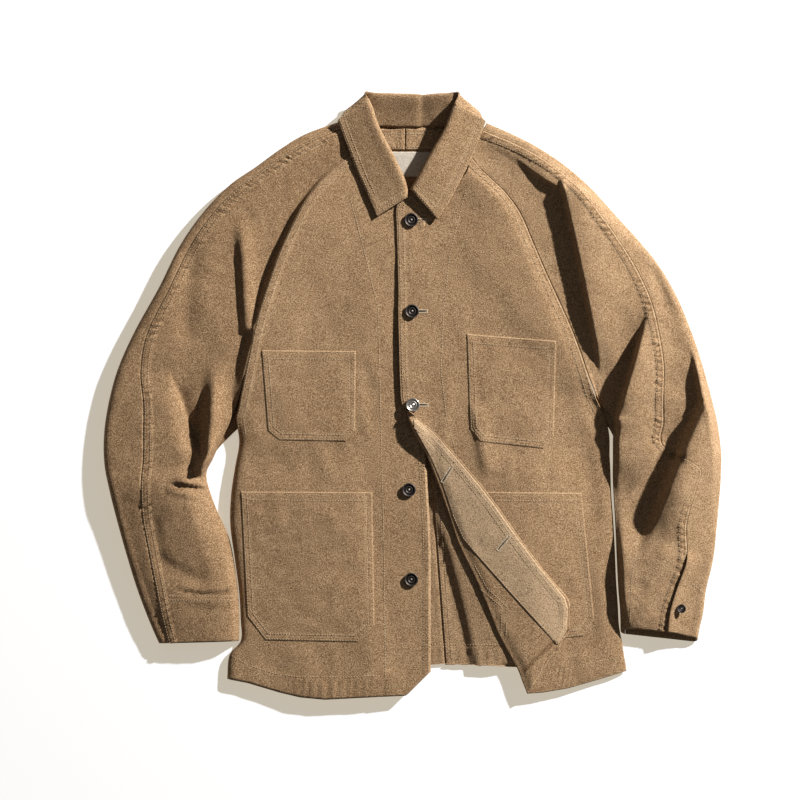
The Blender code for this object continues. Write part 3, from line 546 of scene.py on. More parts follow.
sleeveLeft = dict(
    # tone above 0 lightens this whole sleeve: painted light for the sleeve that lies towards the lamp
    name="sleeve_left", mirror=1, tone=0.26, cuffStep=9.0, seed=11, gusset=(11.8, 0.9), quiet=(12.9, 16.2),
    rows=table(
        "outerX outerY innerX innerY seam open z0 s1 z1 s2 z2 s3 z3 s4 z4 z5",
        (96, 348, 74, 307, 0.24, 1, 14, 0.20, 14, 0.40, 14, 0.60, 14, 0.72, 13, 12),
        (132, 332, 88, 289, 0.18, 1, 13, 0.25, 12.5, 0.48, 13.5, 0.62, 15, 0.78, 15.5, 15),
        (164, 315, 104, 274, 0.15, 1, 12, 0.25, 12, 0.48, 13, 0.62, 15.5, 0.78, 17, 16),
        (197, 293, 122, 256, 0.14, 1, 12, 0.22, 12, 0.46, 13, 0.64, 14, 0.80, 14.5, 13),
        (230, 264, 140, 230, 0.13, 1, 12, 0.22, 12, 0.45, 13, 0.65, 14, 0.82, 14.5, 13),
        (262, 229, 156, 193, 0.15, 1, 12, 0.22, 12, 0.45, 13, 0.65, 14, 0.82, 14.5, 13),
        (292, 196, 172, 156, 0.18, 1, 12, 0.20, 12, 0.42, 13, 0.62, 14, 0.80, 14.5, 13),
        (317, 165, 187, 123, 0.21, 1, 12, 0.18, 12, 0.40, 13, 0.60, 14, 0.80, 14.5, 13),
        (340, 125, 202, 90, 0.24, 1, 12, 0.15, 11.5, 0.35, 12.5, 0.58, 16, 0.78, 18, 17),
        (358, 82, 216, 54, 0.29, 1, 12.5, 0.12, 13, 0.30, 16, 0.52, 16, 0.75, 18, 17),
        (371, 44, 228, 18, 0.34, 0.9, 12, 0.10, 12, 0.28, 17, 0.50, 18, 0.75, 17, 16),
        (382, 5, 239, -12, 0.42, 0.4, 9, 0.08, 10, 0.24, 17, 0.48, 17, 0.78, 14, 15),
        (392, -36, 258, -34, 0.52, 0, 6, 0.05, 21, 0.22, 19, 0.55, 13, 0.85, 14, 15),
        (397, -74, 258, -60, 0.54, 0, 6, 0.05, 19, 0.24, 15, 0.50, 10, 0.80, 15, 15),
        (397, -97, 258, -84, 0.22, 0, 6, 0.05, 15, 0.24, 12, 0.44, 9, 0.74, 15, 15),
        (396, -120, 258, -112, 0.23, 0, 6, 0.05, 9, 0.22, 8, 0.38, 7.5, 0.68, 14, 13),
        (392, -166, 261, -166, 0.31, 0, 6, 0.06, 9, 0.18, 8, 0.30, 8, 0.62, 14, 12),
        (387, -212, 263, -212, 0.285, 0, 6, 0.06, 19, 0.28, 19, 0.45, 18, 0.68, 16.5, 13),
        (378, -251, 265, -251, 0.35, 0, 6, 0.06, 20, 0.28, 19, 0.45, 17.5, 0.68, 16, 12),
        (374, -282, 267, -275, 0.41, 0, 6, 0.07, 18, 0.28, 17.5, 0.45, 16, 0.68, 15, 11),
        (367, -310, 268, -299, 0.40, 0, 6, 0.14, 12, 0.28, 14, 0.45, 14.5, 0.68, 14, 10)),
    folds=table(
        "x0 y0 x1 y1 bow rise left right",
        (316, 180, 330, 96, 4, -2.5, 10, 12),
        (336, 148, 318, 172, 0, -3, 6, 8),
        (330, -190, 300, -262, 0, 1.8, 12, 12),
        (352, -10, 344, -150, 0, 1.0, 9, 12)),
    steps=table(
        "x0 y0 x1 y1 bow rise steep ease fadeIn fadeOut",
        (243, 14, 188, 279, 2, 14, 5, 50, 0.3, 0.08),
        (196, 258, 128, 306, -3, 7, 5, 26, 0.15, 0.75),
        (255, -52, 303, 112, 0, 13, 6, 30, 0.35, 0.45),
        (303, 110, 257, -44, 0, -12, 6, 34, 0.45, 0.12),
        (286, -224, 376, 2, -4, 25, 14, 40, 0.5, 0.07),
        (369, -12, 357, 72, 0, 12, 8, 22, 0.1, 0.5),
        (334, -58, 276, -136, 0, 5, 5, 34, 0.3, 0.4)),
    cuffRows=(((282, -237), (300, -232), (345, -200)), ((281, -242), (301, -237), (348, -204)),
              ((360, -244), (376, -257)), ((287, -203), (281, -236), (279, -292)),
              ((292, -150), (289, -190), (287, -203))),
)


# overarm seam, its pale wear and painted shade, and the turned hem, in the order that feltedBand and bandShade take
# them
sleeveBands = dict(seam=(11.5, 0.8, 0.95, 9.0), shade=(11.5, 9.0, 0.8, 2.6), hem=(62.0, 0.35, 0.12, 9.0))


def profileHeight(tab, t, share, width):
    # monotone cubic curve across each row through its six heights; slopes are harmonic means
    at = [readColumn(tab, f"s{k}", t) + 0 * share for k in range(1, 5)]
    at = [0 * share] + at + [1 - 12 / width + 0 * share]
    height = [readColumn(tab, f"z{k}", t) + 0 * share for k in range(6)]
    step = [at[k + 1] - at[k] for k in range(5)]
    steep = [(height[k + 1] - height[k]) / step[k] for k in range(5)]
    slope = [steep[0]]
    for before, after in zip(steep, steep[1:]):
        same = before * after > 0
        slope.append(np.where(same, 2 * before * after / np.where(same, before + after, 1), 0))
    slope.append(steep[-1])
    total = height[0]
    for k in range(5):
        f = np.clip((share - at[k]) / step[k], 0, 1)
        piece = (height[k] * (1 + 2 * f) * (1 - f) ** 2 + slope[k] * step[k] * f * (1 - f) ** 2
                 + height[k + 1] * f * f * (3 - 2 * f) + slope[k + 1] * step[k] * f * f * (f - 1))
        total = np.where(share >= at[k], piece, total)
    return total


def sleeveTop(spec, t, across, x, y):
    # height of the upper face: the row's profile, the round fall at the outer edge, and folds
    tab = spec["rows"]
    width = np.linalg.norm(readPair(tab, "outer", t) - readPair(tab, "inner", t), axis=-1)
    radius = cloth["edgeRadius"]
    height = profileHeight(tab, t, across / width, width)
    joined = np.clip(readColumn(tab, "open", t), 0, 1)
    outerRadius = 0.52 * readColumn(tab, "z5", t)
    inside = softStep(across / 5) * softStep((width - across) / 14)
    height = height + (foldHeights(spec["folds"], x, y) + stepHeights(spec["steps"], x, y)) * inside
    height = height + 1.2 * crumple(x, y, spec["seed"]) * (0.3 + 0.7 * inside)
    start = superQuarter(across / 9)
    height = outerRadius + (height - outerRadius) * superQuarter((width - across) / 13)
    height = blend(radius + (height - radius) * start, height, joined)
    low = cloth["lowest"]
    return np.where(height < low, low - (low - height) * 0.15, height)


def sleeveHalf(spec, front):
    # front: overarm seam to raglan or inner edge; back: overarm seam round the outer edge and flat
    # along the surface to the inner edge
    tab = spec["rows"]
    t = rowNumbers(tab["outerX"], tab["outerY"], cloth["gridStep"])[:, None]
    inner = readPair(tab, "inner", t[:, 0])[:, None, :]
    outer = readPair(tab, "outer", t[:, 0])[:, None, :]
    width = np.linalg.norm(outer - inner, axis=-1)
    run = (outer - inner) / width[..., None]
    joined = np.clip(readColumn(tab, "open", t), 0, 1)
    radius, gap = cloth["edgeRadius"], cloth["seamGap"]
    seamAt = width * (1 - readColumn(tab, "seam", t))
    along = runLength(outer[:, 0])[:, None]
    last = len(tab["seam"]) - 1
    if front:
        upper, arc = 48, 7
        step = np.arange(upper + arc + 1)[None, :]
        start = seamAt - gap / 2
        near = np.array((0, 1.2, 2.4, 3.6, 5, 6.6, 8.4, 10.2, 12))
        far = blend(12, start - 12, np.linspace(0, 1, upper + 1 - len(near) - 5)[1:-1][None, :])
        late = start - np.array((12, 9, 6.5, 4.5, 3, 1.5))[None, :]
        fromSeam = np.concatenate((near + 0 * start, far, late), axis=1)
        fromSeam = np.concatenate((fromSeam, start + 0 * step[:, :upper + 1 - fromSeam.shape[1]]), axis=1)
        tube = np.maximum(start - fromSeam, 0)
        tail = np.concatenate((tube, np.zeros((len(t), arc))), axis=1)
        angle = np.clip((step - upper) / arc, 0, 1) * math.pi / 2
        station = np.concatenate((fromSeam / start * upper, upper + np.arange(1, arc + 1) + 0 * start), axis=1)
        raglan = start * (1 - station / (upper + arc))
        across = blend(tail + radius * (1 - np.cos(angle)) * (step > upper), raglan, joined)
        onTop = blend(tail, raglan, joined)
    else:
        upper, arc, under = 26, 8, 10
        step = np.arange(upper + arc + under + 1)[None, :]
        start = seamAt + gap / 2
        onTop = start + (width - start) * np.minimum(step / upper, 1)
        angle = np.clip((step - upper) / arc, 0, 1) * math.pi / 2
        round = 0.52 * readColumn(tab, "z5", t)
        stop = blend(radius + 0.6, 0.0, joined) + 12 * joined * (1 - joined)
        stop = stop - 20 * bump(t - spec["gusset"][0], spec["gusset"][1])
        across = onTop - round * (1 - np.cos(angle))
        across = blend(across, stop, np.clip((step - upper - arc) / under, 0, 1))
    xy = inner + run * across[..., None]
    topXY = inner + run * onTop[..., None]
    every = t + 0 * across
    height = sleeveTop(spec, every, onTop, topXY[..., 0], topXY[..., 1])
    fromSeam = (start - onTop) if front else (onTop - start)
    length = along + 0 * height
    fromCuff = along[-1] - length
    if front:
        quietFrom, quietTo = spec["quiet"]
        calm = 1 - 0.8 * softStep((every - quietFrom) / 0.4) * softStep((quietTo - every) / 0.8)
        band = feltedBand(fromSeam, length, spec["seed"], *sleeveBands["seam"]) * calm
        height = height + band * (step <= upper) * softStep((onTop + 2) / 8)
        # the overarm seam's pale wear, painted shade in its grooves and pucker troughs, and painted highlights on
        # the crests
        worn = bandShade(fromSeam, length, spec["seed"], *sleeveBands["shade"]) * calm
        height = np.where(step > upper, blend(radius * (1 - np.sin(angle)), height, joined), height)
    else:
        rope = 0.2 * np.sin(2 * math.pi * length / 7.2 + 2 * latticeNoise(length, 0 * length, 23, 9))
        height = height + rope * bump(fromSeam, 5) * (step <= upper)
        vent = softStep((every - 16.7) / 0.3) * (spec["cuffStep"] > 0)
        height = height + 4.2 * vent * bump(fromSeam, 10) * (step <= upper)
        worn = bump(fromSeam, 1.2) * 0.7
        height = np.where(step > upper, round * (1 - np.sin(angle)), height)
        height = np.where(step >= upper + arc, 0.0, height)
    hem = feltedBand(fromCuff, onTop + 0 * height, spec["seed"] + 7, *sleeveBands["hem"])
    height = height + hem * softStep((height - 7) / 5)
    # pale wear at the cuff's edge, and the sleeve's tone: painted light above 0 and painted shade below it, over
    # the whole sleeve
    worn = worn + 0.8 * bump(fromCuff, 1.6) + spec["tone"]
    points = withHeight(xy, height)
    lowness = 1 - np.clip(height / 14, 0, 1)
    late = softStep((t - (last - 0.45)) / 0.45)
    points[..., 1] -= spec["cuffStep"] * lowness * late
    lines = dict(t=t[:, 0], inner=inner[:, 0], run=run[:, 0], start=start[:, 0])
    return points, worn, lines


pieces = {}
for spec in (sleeveRight, sleeveLeft):
    for half in ("front", "back"):
        front = half == "front"
        points, worn, lines = sleeveHalf(spec, front)
        name = f"{spec['name']}_{half}"
        flip = front == (spec["mirror"] < 0)
        pieces[name] = buildSurface(name + "_cloth", points, cloth["wall"], flip, worn, canvas,
                                    (spec["seed"], 0))
        spec[half] = lines
print("sleeves made")

# side, edge and hem bands give their seed, then what feltedBand or bandShade takes
frontRight = dict(
    seed=21, sideSeed=41, edgeBand=(45, 10.0, 0.45, 0.45, 7.0), edgeShade=(45, 10.0, 7.0, 0.6, 0.75),
    hemBand=(47, 28.0, 0.5, 0.42), columns=56, sideSpread=75,
    rows=table(
        "sideX sideY sideZ edgeX edgeY",
        (0, 0, 14, -70, 303), (0, 0, 14, -68, 284), (0, 0, 14, -52, 262), (0, 0, 14, -14, 247),
        (0, 0, 14, 15, 226), (0, 0, 14, 15, 190), (0, 0, 14, 15, 142), (0, 0, 14, 15, 97),
        (0, 0, 14, 15, 50), (0, 0, 12.5, 15, 3), (0, 0, 7, 16, -32), (-222.5, -62, 2.7, 17, -66),
        (-228, -95, 2.7, 19, -100), (-233, -130, 2.7, 21, -135), (-234, -168, 2.7, 23, -173),
        (-228.5, -210, 2.7, 24, -213), (-222.8, -253, 2.7, 24, -254), (-220.6, -290, 2.7, 24, -290),
        (-220.4, -317, 2.7, 24, -316), (-235, -336, 2.7, 24, -338), (-238, -366, 2.7, 24, -356)),
    hem=table("share drop", (0, 0), (0.1, 6), (0.26, 20), (0.36, 27), (0.48, 31), (0.76, 30), (0.88, 30),
              (1, 0)),
    folds=table(
        "x0 y0 x1 y1 bow rise left right",
        (-196, 40, -70, 250, 8, 2.2, 26, 22),
        (-230, -110, -60, -70, -6, -1.8, 20, 24),
        (-60, 40, -30, -330, 4, -1.6, 18, 18),
        (-66, 48, -44, -20, -3, -0.9, 5, 9),
        (-72, 20, -50, -70, 3, 0.8, 7, 7),
        (-190, -66, -150, -112, 0, -1.0, 9, 12),
        (-120, -70, -96, -118, 0, 0.9, 9, 9),
        (-215, 20, -196, -70, 0, 1.2, 8, 10),
        (-150, -320, -120, -390, 0, 1.6, 20, 20)),
    steps=table("x0 y0 x1 y1 bow rise steep ease fadeIn fadeOut",
                (-37, -405, -36, -352, 0, 1.1, 1.4, 30, 0.05, 0.1)),
)
frontLeft = dict(
    seed=31, sideSeed=51, edgeBand=(55, 11.0, 0.4, 0.34), edgeShade=(55, 11.0, 6.6, 0.5, 0.35),
    hemBand=(57, 26.0, 0.5, 0.42), flapHem=(58, 26.0, 0.35, 0.25, 13.0), flapShade=(58, 26.0, 13.0, 0.3, 0.5),
    columns=50, arc=10, flap=36, sideSpread=20, sideRoll=38,
    rows=table(
        "sideX sideY sideZ creaseX creaseY edgeX edgeY turn bend",
        (0, 0, 14, 71, 304, 69, 303, 0, 4), (0, 0, 14, 72, 288, 60, 287, 0, 4),
        (0, 0, 14, 62, 274, 36, 274, 0, 4), (0, 0, 14, 52, 262, 4, 262, 0, 4),
        (0, 0, 14, 44, 240, -19, 243, 0, 4), (0, 0, 14, 44, 206, -20, 210, 0, 4),
        (0, 0, 14, 44, 168, -19, 172, 0, 4), (0, 0, 14, 40, 132, -18, 136, 0, 4),
        (0, 0, 14, 32, 97, -18, 100, 0, 4), (0, 0, 14, 24, 60, -17, 62, 0, 4),
        (0, 0, 12.5, 14, 24, -16, 26, 0, 4), (0, 0, 7, 3, -8, -14, -8, 0, 4),
        (249, -32, 2.7, -4, -19, -9.5, -18, 0, 4), (253, -46, 2.7, -6, -27, 2, -25.5, 120, 2.6),
        (254.5, -60, 2.7, -2, -40, 15, -37, 172, 3.2), (254.5, -78, 2.7, 7, -58, 26, -46, 180, 3.0),
        (255.5, -98, 2.7, 18, -78, 40, -60, 180, 2.2), (256.5, -128, 2.7, 33, -115, 62, -85, 180, 1.4),
        (259.2, -164, 2.7, 48, -157, 89, -117, 180, 0.9), (261.2, -200, 2.7, 60, -193, 109, -143, 180, 0.9),
        (262.8, -238, 2.7, 82, -238, 137, -183, 180, 0.9), (265, -270, 2.7, 97, -273, 160, -214, 180, 0.9),
        (266.6, -298, 2.7, 110, -306, 183, -242, 180, 0.9), (271, -322, 2.7, 123, -331, 201, -264, 180, 0.9),
        (273, -336, 2.7, 135, -352, 202, -281, 180, 0.9), (275, -347, 2.7, 142, -370, 201, -305, 180, 0.9),
        (276, -356, 2.7, 148, -385, 187, -323, 180, 0.9)),
    hem=table("share drop", (0, 0), (0.3, 3), (0.6, 5), (0.85, 3), (1, 0)),
    folds=table(
        "x0 y0 x1 y1 bow rise left right",
        (200, 40, 60, 230, -8, 2.2, 22, 26),
        (240, -90, 90, -60, 6, -1.8, 20, 24),
        (76, -4, 98, -112, 0, 3.4, 17, 6),
        (120, -10, 112, -80, 0, 1.0, 10, 8),
        (128, -74, 122, -126, 0, 0.9, 7, 9),
        (170, -76, 176, -122, 0, -0.9, 8, 10),
        (205, 60, 226, -60, 0, 1.4, 9, 12),
        (224, -60, 236, -180, 0, -1.4, 9, 12),
        (236, -200, 250, -330, 0, 1.2, 9, 10),
        (210, -330, 232, -372, 0, 1.6, 18, 18)),
    steps=table("x0 y0 x1 y1 bow rise steep ease fadeIn fadeOut",
                (52, 40, 46, -100, 0, 1.2, 9, 18, 0.3, 0.3)),
)


def frontLevel(spec, x, y, left):
    # outer face of a front: level, dipping under or rising over at the lap, with folds and crumpling
    lap = softStep((34 - x) / 40) if left else softStep((x + 60) / 40)
    swell = 1.2 * np.sin(x / 47 + 1.3) * np.sin(y / 61 + 0.4)
    rise = (0.9 + 1.9 * softStep((200 - y) / 200)) if left else (-0.8 - 1.3 * softStep((220 - y) / 120))
    calm = 1 - lap
    fall = (-8 * softStep((x - 140) / 95) * softStep((70 - y) / 80) if left
            else -4 * softStep((-90 - x) / 130) * softStep((-120 - y) / 150))
    rough = 0.75 * crumple(x, y, spec["seed"])
    rough = rough + 0.35 * latticeNoise(x + 0.2 * y, 0.25 * y, 17, spec["seed"] + 8)
    folds = (swell + foldHeights(spec["folds"], x, y)) * calm
    return cloth["frontLevel"] + rise * lap + folds + rough + fall + stepHeights(spec["steps"], x, y)


def creaseSink(y, fromCrease):
    # how far the left front comes down towards its folded crease, where it lies on the back
    return 3.2 * (1 - softStep(fromCrease / 75)) * softStep((-50 - y) / 60)


def bodySide(spec, sleeve, sign, t):
    # side edge of a panel: the sleeve's inner edge down to the underarm, then the side seam
    tab = dict(spec["rows"])
    joined = tab["sideX"] == 0
    last = int(joined.sum()) - 1
    tab["sideX"], tab["sideY"] = tab["sideX"].copy(), tab["sideY"].copy()
    tab["sideX"][joined] = sleeve["rows"]["innerX"][:last + 1]
    tab["sideY"][joined] = sleeve["rows"]["innerY"][:last + 1]
    onSleeve = readPair(sleeve["rows"], "inner", np.minimum(t, last))
    side = np.where((t <= last)[:, None], onSleeve, readPair(tab, "side", t))
    side[:, 0] -= sign * cloth["seamGap"]
    onSeam = readColumn(sleeve["rows"], "z0", np.minimum(t, last))
    rolled = softStep(t - last + 1)
    sideZ = np.where(t <= last, onSeam, readColumn(tab, "sideZ", np.maximum(t, last + 1)))
    between = blend(sleeve["rows"]["z0"][last], tab["sideZ"][last + 1], softStep(t - last))
    sideZ = np.where((t > last) & (t < last + 1), between, sideZ)
    return side, last, tab, sideZ[:, None], rolled[:, None]


def sideHeight(level, sideZ, fromSide, rolled, spread, roll=cloth["sideRoll"]):
    # from the seam's height to the panel's: slowly beside a sleeve, by a round roll at a side seam
    slow = sideZ + (level - sideZ) * softStep(fromSide / spread)
    fast = sideZ + (level - sideZ) * superQuarter(fromSide / roll)
    return blend(slow, fast, rolled)


def panelShares(side, edge, columns):
    # close columns on the rolled side, even ones on the flat
    width = np.linalg.norm(edge - side, axis=-1)
    near = np.array((0, 0.6, 1.5, 3, 5, 7, 9, 11, 13.5, 16.5, 20, 24, 28, 32)) * np.minimum(1, width / 90)
    far = blend(near[:, -1:], width, (np.arange(1, columns + 1) / columns)[None, :])
    return (np.concatenate((near, far), axis=1) / width)[..., None]


def sideRelief(fromSide, along, t, last, seed):
    # felled raglan seam beside the sleeve, with pale wear and painted shade from bandShade; a plain pressed side
    # seam below the underarm
    raglan = 1 - softStep((t - last + 0.6) / 0.6)
    return (raglan * feltedBand(fromSide, along, seed, 12.0, 0.9, 0.6),
            raglan * bandShade(fromSide, along, seed, 12.0, edge=0.6, dark=0.4))


def frontRightGrid():
    # rows from the side to the front edge: level, seam strip, edge band, and a hem with slanted ropes
    tab = frontRight["rows"]
    t = rowNumbers(tab["edgeX"], tab["edgeY"], cloth["gridStep"])
    side, last, full, sideZ, rolled = bodySide(frontRight, sleeveRight, -1, t)
    side = side[:, None, :]
    edge = readPair(tab, "edge", t)[:, None, :]
    share = panelShares(side, edge, frontRight["columns"])
    xy = blend(side, edge, share)
    sideY = readColumn(full, "sideY", t)
    depth = (softStep((-215 - sideY) / 150) * (t > last))[:, None]
    xy[..., 1] -= depth * np.interp(share[..., 0], frontRight["hem"]["share"], frontRight["hem"]["drop"])
    x, y = xy[..., 0], xy[..., 1]
    fromSide = np.linalg.norm(xy - side, axis=-1)
    along = runLength(side[:, 0])[:, None]
    level = frontLevel(frontRight, x, y, False)
    height = sideHeight(level, sideZ, fromSide, rolled, frontRight["sideSpread"])
    band, worn = sideRelief(fromSide, along + 0 * fromSide, t[:, None], last, frontRight["sideSeed"])
    width = np.linalg.norm(edge - side, axis=-1)
    fromEdge = width - fromSide
    down = runLength(edge[:, 0])[:, None] + 0 * fromEdge
    edgeBand = feltedBand(fromEdge, down, *frontRight["edgeBand"])
    fromHem = y - y[-1]
    hemRun = np.cumsum(np.abs(np.diff(x[-1], prepend=x[-1, 0])))[None, :] + 0 * fromHem
    hemBand = feltedBand(fromHem, hemRun, *frontRight["hemBand"])
    rope = np.sin(2 * math.pi * x / 10.5 + 2.2 * latticeNoise(x, 0 * fromHem, 31, 5))
    rope = rope * softStep((x + 165) / 30) * softStep((-34 - x) / 4)
    rope = rope * softStep(fromHem / 3) * softStep((27 - fromHem) / 4)
    height = height + band + edgeBand + (hemBand + rope) * softStep(fromSide / 8)
    # pale wear at the front edge and hem; painted shade in the stitch grooves, between puckers, along the top of
    # the hem band and in the ropes' troughs
    worn = worn + bandShade(fromEdge, down, *frontRight["edgeShade"])
    worn = worn + 0.75 * bump(fromHem, 1.8) - 0.35 * bump(fromHem - 27, 1.3) - 0.3 * np.maximum(-rope, 0)
    return withHeight(xy, height), worn, t, side[:, 0], edge[:, 0]


def frontLeftGrid():
    # rows from the side to the crease, round the fold, and along the flap to its free edge; each row
    # turns by its own angle
    tab = frontLeft["rows"]
    t = rowNumbers(tab["edgeX"], tab["edgeY"], cloth["gridStep"])
    side, last, _, sideZ, rolled = bodySide(frontLeft, sleeveLeft, 1, t)
    side = side[:, None, :]
    crease = readPair(tab, "crease", t)[:, None, :]
    edge = readPair(tab, "edge", t)[:, None, :]
    turn = np.radians(np.clip(readColumn(tab, "turn", t), 0, 180))[:, None]
    bend = readColumn(tab, "bend", t)[:, None]
    folded = np.sin(turn / 2)[..., None]
    inward, outward = unit(side - crease), unit(edge - crease)
    inset = (bend[..., None] + cloth["flapWall"]) * folded
    start = crease + inward * inset
    share = panelShares(side, start, frontLeft["columns"])
    mainXY = blend(side, start, share)
    hemDepth = softStep((-300 - crease[..., 1]) / 85)
    mainXY[..., 1] -= hemDepth * np.interp(share[..., 0], frontLeft["hem"]["share"], frontLeft["hem"]["drop"])
    fromSide = np.linalg.norm(mainXY - side, axis=-1)
    along = runLength(side[:, 0])[:, None]
    level = frontLevel(frontLeft, mainXY[..., 0], mainXY[..., 1], True)
    level = level - creaseSink(mainXY[..., 1], np.linalg.norm(mainXY - crease, axis=-1))
    level = level + 2.5 * (1 - rolled) * bump(fromSide - 26, 30)
    mainZ = sideHeight(level, sideZ, fromSide, rolled, frontLeft["sideSpread"], frontLeft["sideRoll"])
    band, mainWearAndLight = sideRelief(fromSide, along + 0 * fromSide, t[:, None], last, frontLeft["sideSeed"])
    mainZ = mainZ + band
    # round the fold: the outer face is inside the bend
    arc, flap = frontLeft["arc"], frontLeft["flap"]
    arcStep = np.arange(1, arc + 1)[None, :] / arc
    angle = turn * arcStep
    base = mainZ[:, -1:]
    facingIn = blend(inward, outward, ((1 - np.cos(angle)) / 2)[..., None])
    flatRun = blend(start, edge, (np.arange(1, arc + 1) / (arc + flap))[None, :, None])
    arcXY = blend(flatRun, crease + facingIn * (inset - (bend * np.sin(angle))[..., None]), folded)
    arcZ = base + bend * (1 - np.cos(angle))
    # along the flap to its free edge, coming down to rest on the front
    steps = np.arange(1, flap + 1)[None, :] / flap
    flapXY = blend(arcXY[:, -1:, :], edge, steps[..., None])
    flatZ = frontLevel(frontLeft, flapXY[..., 0], flapXY[..., 1], True)
    flatZ = flatZ - creaseSink(flapXY[..., 1], np.linalg.norm(flapXY - crease, axis=-1)) * folded[..., 0]
    fromCrease = np.linalg.norm(flapXY - arcXY[:, -1:, :], axis=-1)
    settled = flatZ + 2.9 + 1.8 * (1 - steps)
    flapZ = blend(arcZ[:, -1:], settled, softStep(fromCrease / 14))
    half = np.exp(-((np.degrees(turn) - 95) / 30) ** 2)
    flapZ = blend(flapZ, arcZ[:, -1:] + steps * 6, half)
    full180 = np.minimum(1, folded[..., 0] * 1.4)
    flapZ = blend(flatZ, flapZ, full180)
    arcZ = blend(frontLevel(frontLeft, arcXY[..., 0], arcXY[..., 1], True), arcZ, full180)
    rough = 0.75 * full180 * crumple(flapXY[..., 0], flapXY[..., 1], 35)
    flapZ = flapZ + rough * softStep(steps / 0.2) * softStep((1 - steps) / 0.1 + 0.3)
    xy = np.concatenate((mainXY, arcXY, flapXY), axis=1)
    points = withHeight(xy, np.concatenate((mainZ, arcZ, flapZ), axis=1))
    stepLengths = np.linalg.norm(np.diff(points, axis=1), axis=-1)
    length = np.concatenate((np.zeros((len(t), 1)), np.cumsum(stepLengths, axis=1)), axis=1)
    fromEdge = length[:, -1:] - length
    down = runLength(edge[:, 0])[:, None] + 0 * fromEdge
    facingUp = np.where(t < last + 1.5, 1.0, -1.0)[:, None]
    belowCollar, atHem = (t > 3.6)[:, None], (t > 20)[:, None]
    points[..., 2] += 0.8 * facingUp * feltedBand(fromEdge, down, *frontLeft["edgeBand"]) * belowCollar
    worn = np.concatenate((mainWearAndLight, 0 * arcZ, 0 * flapZ), axis=1)
    column, mainColumns = np.arange(points.shape[1])[None, :], mainZ.shape[1]
    foldLine = np.abs(column - (mainColumns + arc / 2))
    # pale wear at the front edge, painted shade in its stitch grooves and between puckers, and a pale line along
    # the fold
    edgeShade = bandShade(fromEdge, down, *frontLeft["edgeShade"]) * belowCollar
    worn = worn + edgeShade + 0.3 * bump(foldLine, 3) * full180
    # the hem of the main part, and the flap's own hem, seen from its wrong side
    fromHem = np.where(column < mainColumns, points[..., 1] - points[-1:, :, 1], 99)
    hemRun = np.cumsum(np.abs(np.diff(points[-1, :, 0], prepend=points[-1, 0, 0])))[None, :] + 0 * fromHem
    points[..., 2] += feltedBand(fromHem, hemRun, *frontLeft["hemBand"]) * softStep(length / 8) * atHem
    # pale wear at the hem's edge and painted shade along the top of its band
    worn = worn + (0.75 * bump(fromHem, 1.8) - 0.35 * bump(fromHem - 25, 1.3)) * atHem
    onFlap = (column > mainColumns + arc) * 1.0
    fromEnd = np.linalg.norm(points[..., :2] - points[-1:, :, :2], axis=-1)
    endRun = np.linalg.norm(points[-1:, :, :2] - points[-1:, -1:, :2], axis=-1) + 0 * fromEnd
    points[..., 2] += feltedBand(fromEnd, endRun, *frontLeft["flapHem"]) * onFlap * softStep(endRun / 6)
    # rubbed: pale wear at the flap's hem edge, and painted shade along the stitched crease at the top of its band
    rubbed = 1.6 * bump(fromEnd, 2.4) - 1.6 * bump(fromEnd - 26, 2.6)
    worn = worn + onFlap * (bandShade(fromEnd, endRun, *frontLeft["flapShade"]) + rubbed)
    return points, worn, t, mainColumns, side[:, 0], crease[:, 0]


rightPoints, rightWearAndLight, rightT, rightSide, rightEdge = frontRightGrid()
pieces["front_right"] = buildSurface("front_right_cloth", rightPoints, cloth["wall"], True, rightWearAndLight,
                                     canvas, (30, 0))
leftPoints, leftWearAndLight, leftT, leftMain, leftSide, leftEdge = frontLeftGrid()
pieces["front_left"] = buildSurface("front_left_cloth", leftPoints, cloth["flapWall"], False, leftWearAndLight,
                                    canvas, (40, 0))
print("fronts made")

backSettings = dict(seed=61, level=2.1, wall=1.3, hemRise=0.7, hemWidth=24.0, rows=185, columns=50,
                    seamBand=(63, 10.5, 0.5, 0.6), seamShade=(63, 10.5, 6.6, 0.5, 0.9),
                    folds=table("x0 y0 x1 y1 bow rise left right",
                                (14, -60, 146, -390, -4, 2.4, 40, 24),
                                (-8, -60, 74, -420, 0, 1.0, 9, 10),
                                (40, -250, 62, -420, 0, -0.8, 7, 6)),
                    steps=table("x0 y0 x1 y1 bow rise steep ease fadeIn fadeOut",
                                (82, -365, 16, -120, 6, 5.4, 14, 95, 0.04, 0.3)))


def centreSeam(y):
    # x of the centre back seam: a straight line with a slope of 40 over 529
    return -9 + 40 * (342 - y) / 529


